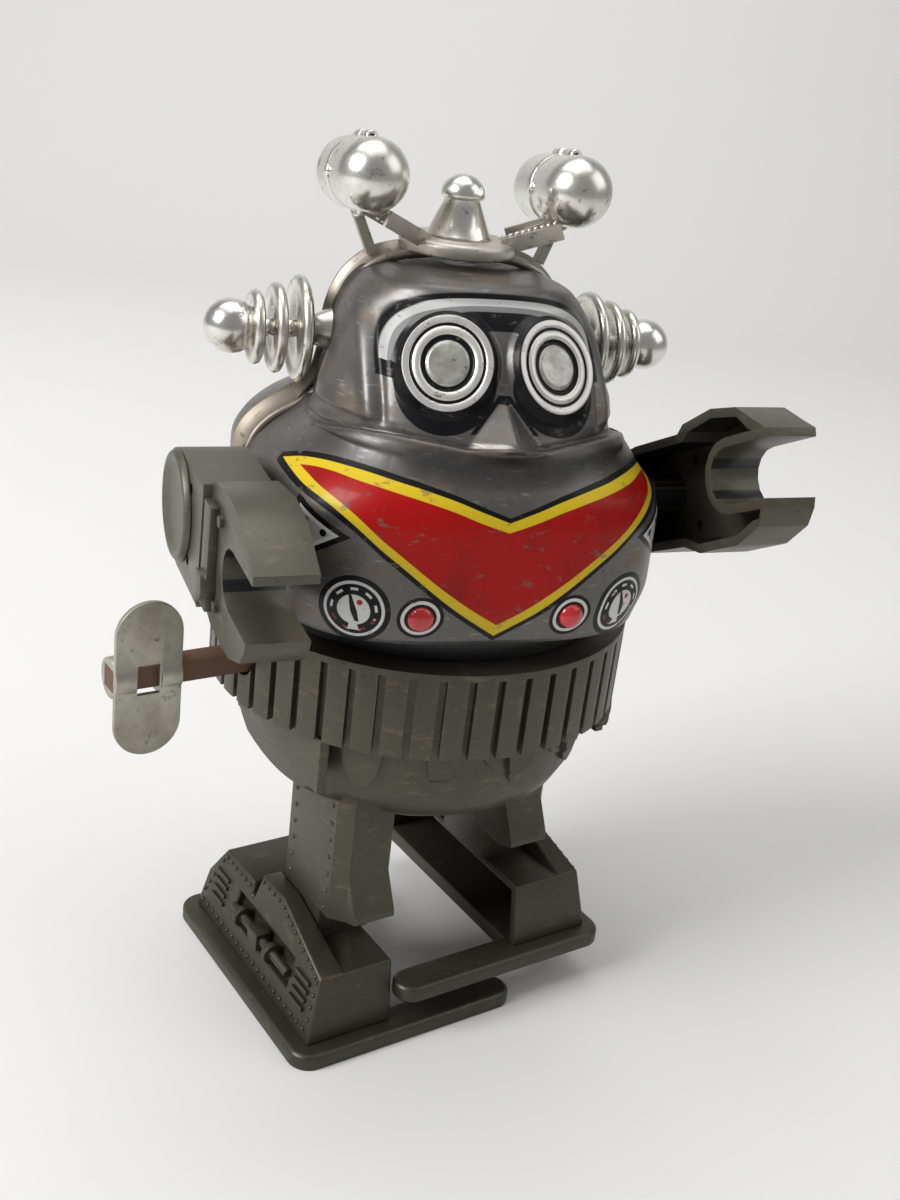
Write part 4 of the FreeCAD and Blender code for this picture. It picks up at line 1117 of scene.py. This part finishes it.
def soften(name, width, bodyName):
    source = nodes[name]
    work = bmesh.new()
    work.from_mesh(source.data)
    bmesh.ops.remove_doubles(work, verts=work.verts, dist=0.000002)
    bmesh.ops.dissolve_limit(work, angle_limit=math.radians(1.5), verts=work.verts, edges=work.edges)
    mesh = bpy.data.meshes.new(name + "_soft")
    work.to_mesh(mesh)
    work.free()
    mesh.materials.clear()
    mesh.materials.append(source.data.materials[0])
    obj = bpy.data.objects.new(name + "_soft", mesh)
    bpy.context.scene.collection.objects.link(obj)
    if name.startswith("arm_"):
        blackenInside(obj, nodeTree(name))
    edge = obj.modifiers.new("edge", "BEVEL")
    edge.width = width * mm
    edge.segments = 3
    edge.limit_method = "ANGLE"
    edge.angle_limit = math.radians(soft["angle"])
    edge.use_clamp_overlap = True
    settle(obj)
    obj.data.polygons.foreach_set("use_smooth", [True] * len(obj.data.polygons))
    obj.data.set_sharp_from_angle(angle=math.radians(soft["smoothAngle"]))
    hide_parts(name)
    attach(obj, bodyName)


for name in sorted(nodes):
    stem = name.removesuffix("_right").removesuffix("_left")
    if stem in soft["widths"]:
        soften(name, soft["widths"][stem], nodes[name]["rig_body"])
print("moulded pieces softened")

# floor, light and camera
stage = {"color": (0.69, 0.685, 0.675), "world": (0.83, 0.835, 0.84), "worldStrength": 0.36,
         "behindCamera": 0.34}


def makeStage():
    s = Shade("backdrop")
    color = s.mix(s.noise(3, 2, 0.5), stage["color"], tuple(c * 0.98 for c in stage["color"]))
    material = s.finish(color, 0.0, 0.85)
    line = [(-0.6, 0.0), (0.55, 0.0)]
    for i in range(1, 13):
        a = math.radians(90 * i / 12)
        line.append((0.55 + 0.35 * math.sin(a), 0.35 - 0.35 * math.cos(a)))
    line.append((0.9, 1.4))
    a = math.radians(cameraView["azimuth"])
    back = Vector((math.sin(a), -math.cos(a), 0))
    across = Vector((math.cos(a), math.sin(a), 0))
    verts = []
    for d, z in line:
        for w in (-1.6, 1.6):
            verts.append(across * w - back * d + Vector((0, 0, z)))
    floor = newObject("floor", verts, gridFaces(len(line), 2), material)


cameraView = {"azimuth": -35.8046, "elevation": 22.4762, "roll": 7.0815, "distance": 218.463,
              "side": 4.7045, "height": 64.465, "lens": 42.002}


def makeCamera():
    a, e, r = (math.radians(cameraView[k]) for k in ("azimuth", "elevation", "roll"))
    back = Vector((math.sin(a) * math.cos(e), -math.cos(a) * math.cos(e), math.sin(e)))
    side = cameraView["side"]
    target = Vector((side * math.cos(a), side * math.sin(a), cameraView["height"]))
    right = (-back).cross(Vector((0, 0, 1))).normalized()
    up = right.cross(-back)
    right, up = right * math.cos(r) + up * math.sin(r), up * math.cos(r) - right * math.sin(r)
    place = (target + back * cameraView["distance"]) * mm
    data = bpy.data.cameras.new("camera")
    data.lens = cameraView["lens"]
    data.sensor_width = 36
    data.clip_start = 0.01
    camera = bpy.data.objects.new("camera", data)
    camera.matrix_world = Matrix(((right.x, up.x, back.x, place.x), (right.y, up.y, back.y, place.y),
                                  (right.z, up.z, back.z, place.z), (0, 0, 0, 1)))
    bpy.context.scene.collection.objects.link(camera)
    bpy.context.scene.camera = camera


def areaLight(name, place, target, size, power):
    data = bpy.data.lights.new(name, "AREA")
    data.size = size
    data.energy = power
    light = bpy.data.objects.new(name, data)
    light.location = place
    light.rotation_euler = (Vector(target) - Vector(place)).to_track_quat("-Z", "Y").to_euler()
    bpy.context.scene.collection.objects.link(light)


makeStage()
makeCamera()
areaLight("key", (-0.8, 0.05, 0.6), (0, 0, 0.07), 0.45, 9.6)
areaLight("fill", (0.55, -0.45, 0.6), (0, 0, 0.07), 0.6, 1.4)
areaLight("top", (0.0, 0.1, 0.9), (0, 0, 0.07), 0.8, 2.6)
areaLight("backdrop", (0.0, 0.25, 0.75), (0.45, 0.8, 0.25), 0.5, 1.6)


def makeWorld():
    # pale all round, darker behind the camera
    world = bpy.data.worlds.new("studio")
    world.use_nodes = True
    tree = world.node_tree
    coords = tree.nodes.new("ShaderNodeTexCoord")
    dot = tree.nodes.new("ShaderNodeVectorMath")
    dot.operation = "DOT_PRODUCT"
    a = math.radians(cameraView["azimuth"])
    dot.inputs[1].default_value = (math.sin(a), -math.cos(a), 0.1)
    fade = tree.nodes.new("ShaderNodeMapRange")
    fade.inputs["From Min"].default_value = 0.2
    fade.inputs["From Max"].default_value = 0.9
    fade.inputs["To Min"].default_value = stage["worldStrength"]
    fade.inputs["To Max"].default_value = stage["behindCamera"]
    light = tree.nodes["Background"]
    light.inputs["Color"].default_value = (*stage["world"], 1)
    tree.links.new(coords.outputs["Generated"], dot.inputs[0])
    tree.links.new(dot.outputs["Value"], fade.inputs["Value"])
    tree.links.new(fade.outputs["Result"], light.inputs["Strength"])
    bpy.context.scene.world = world


makeWorld()
bpy.context.scene.view_settings.view_transform = "Standard"
print("stage, light and camera set")
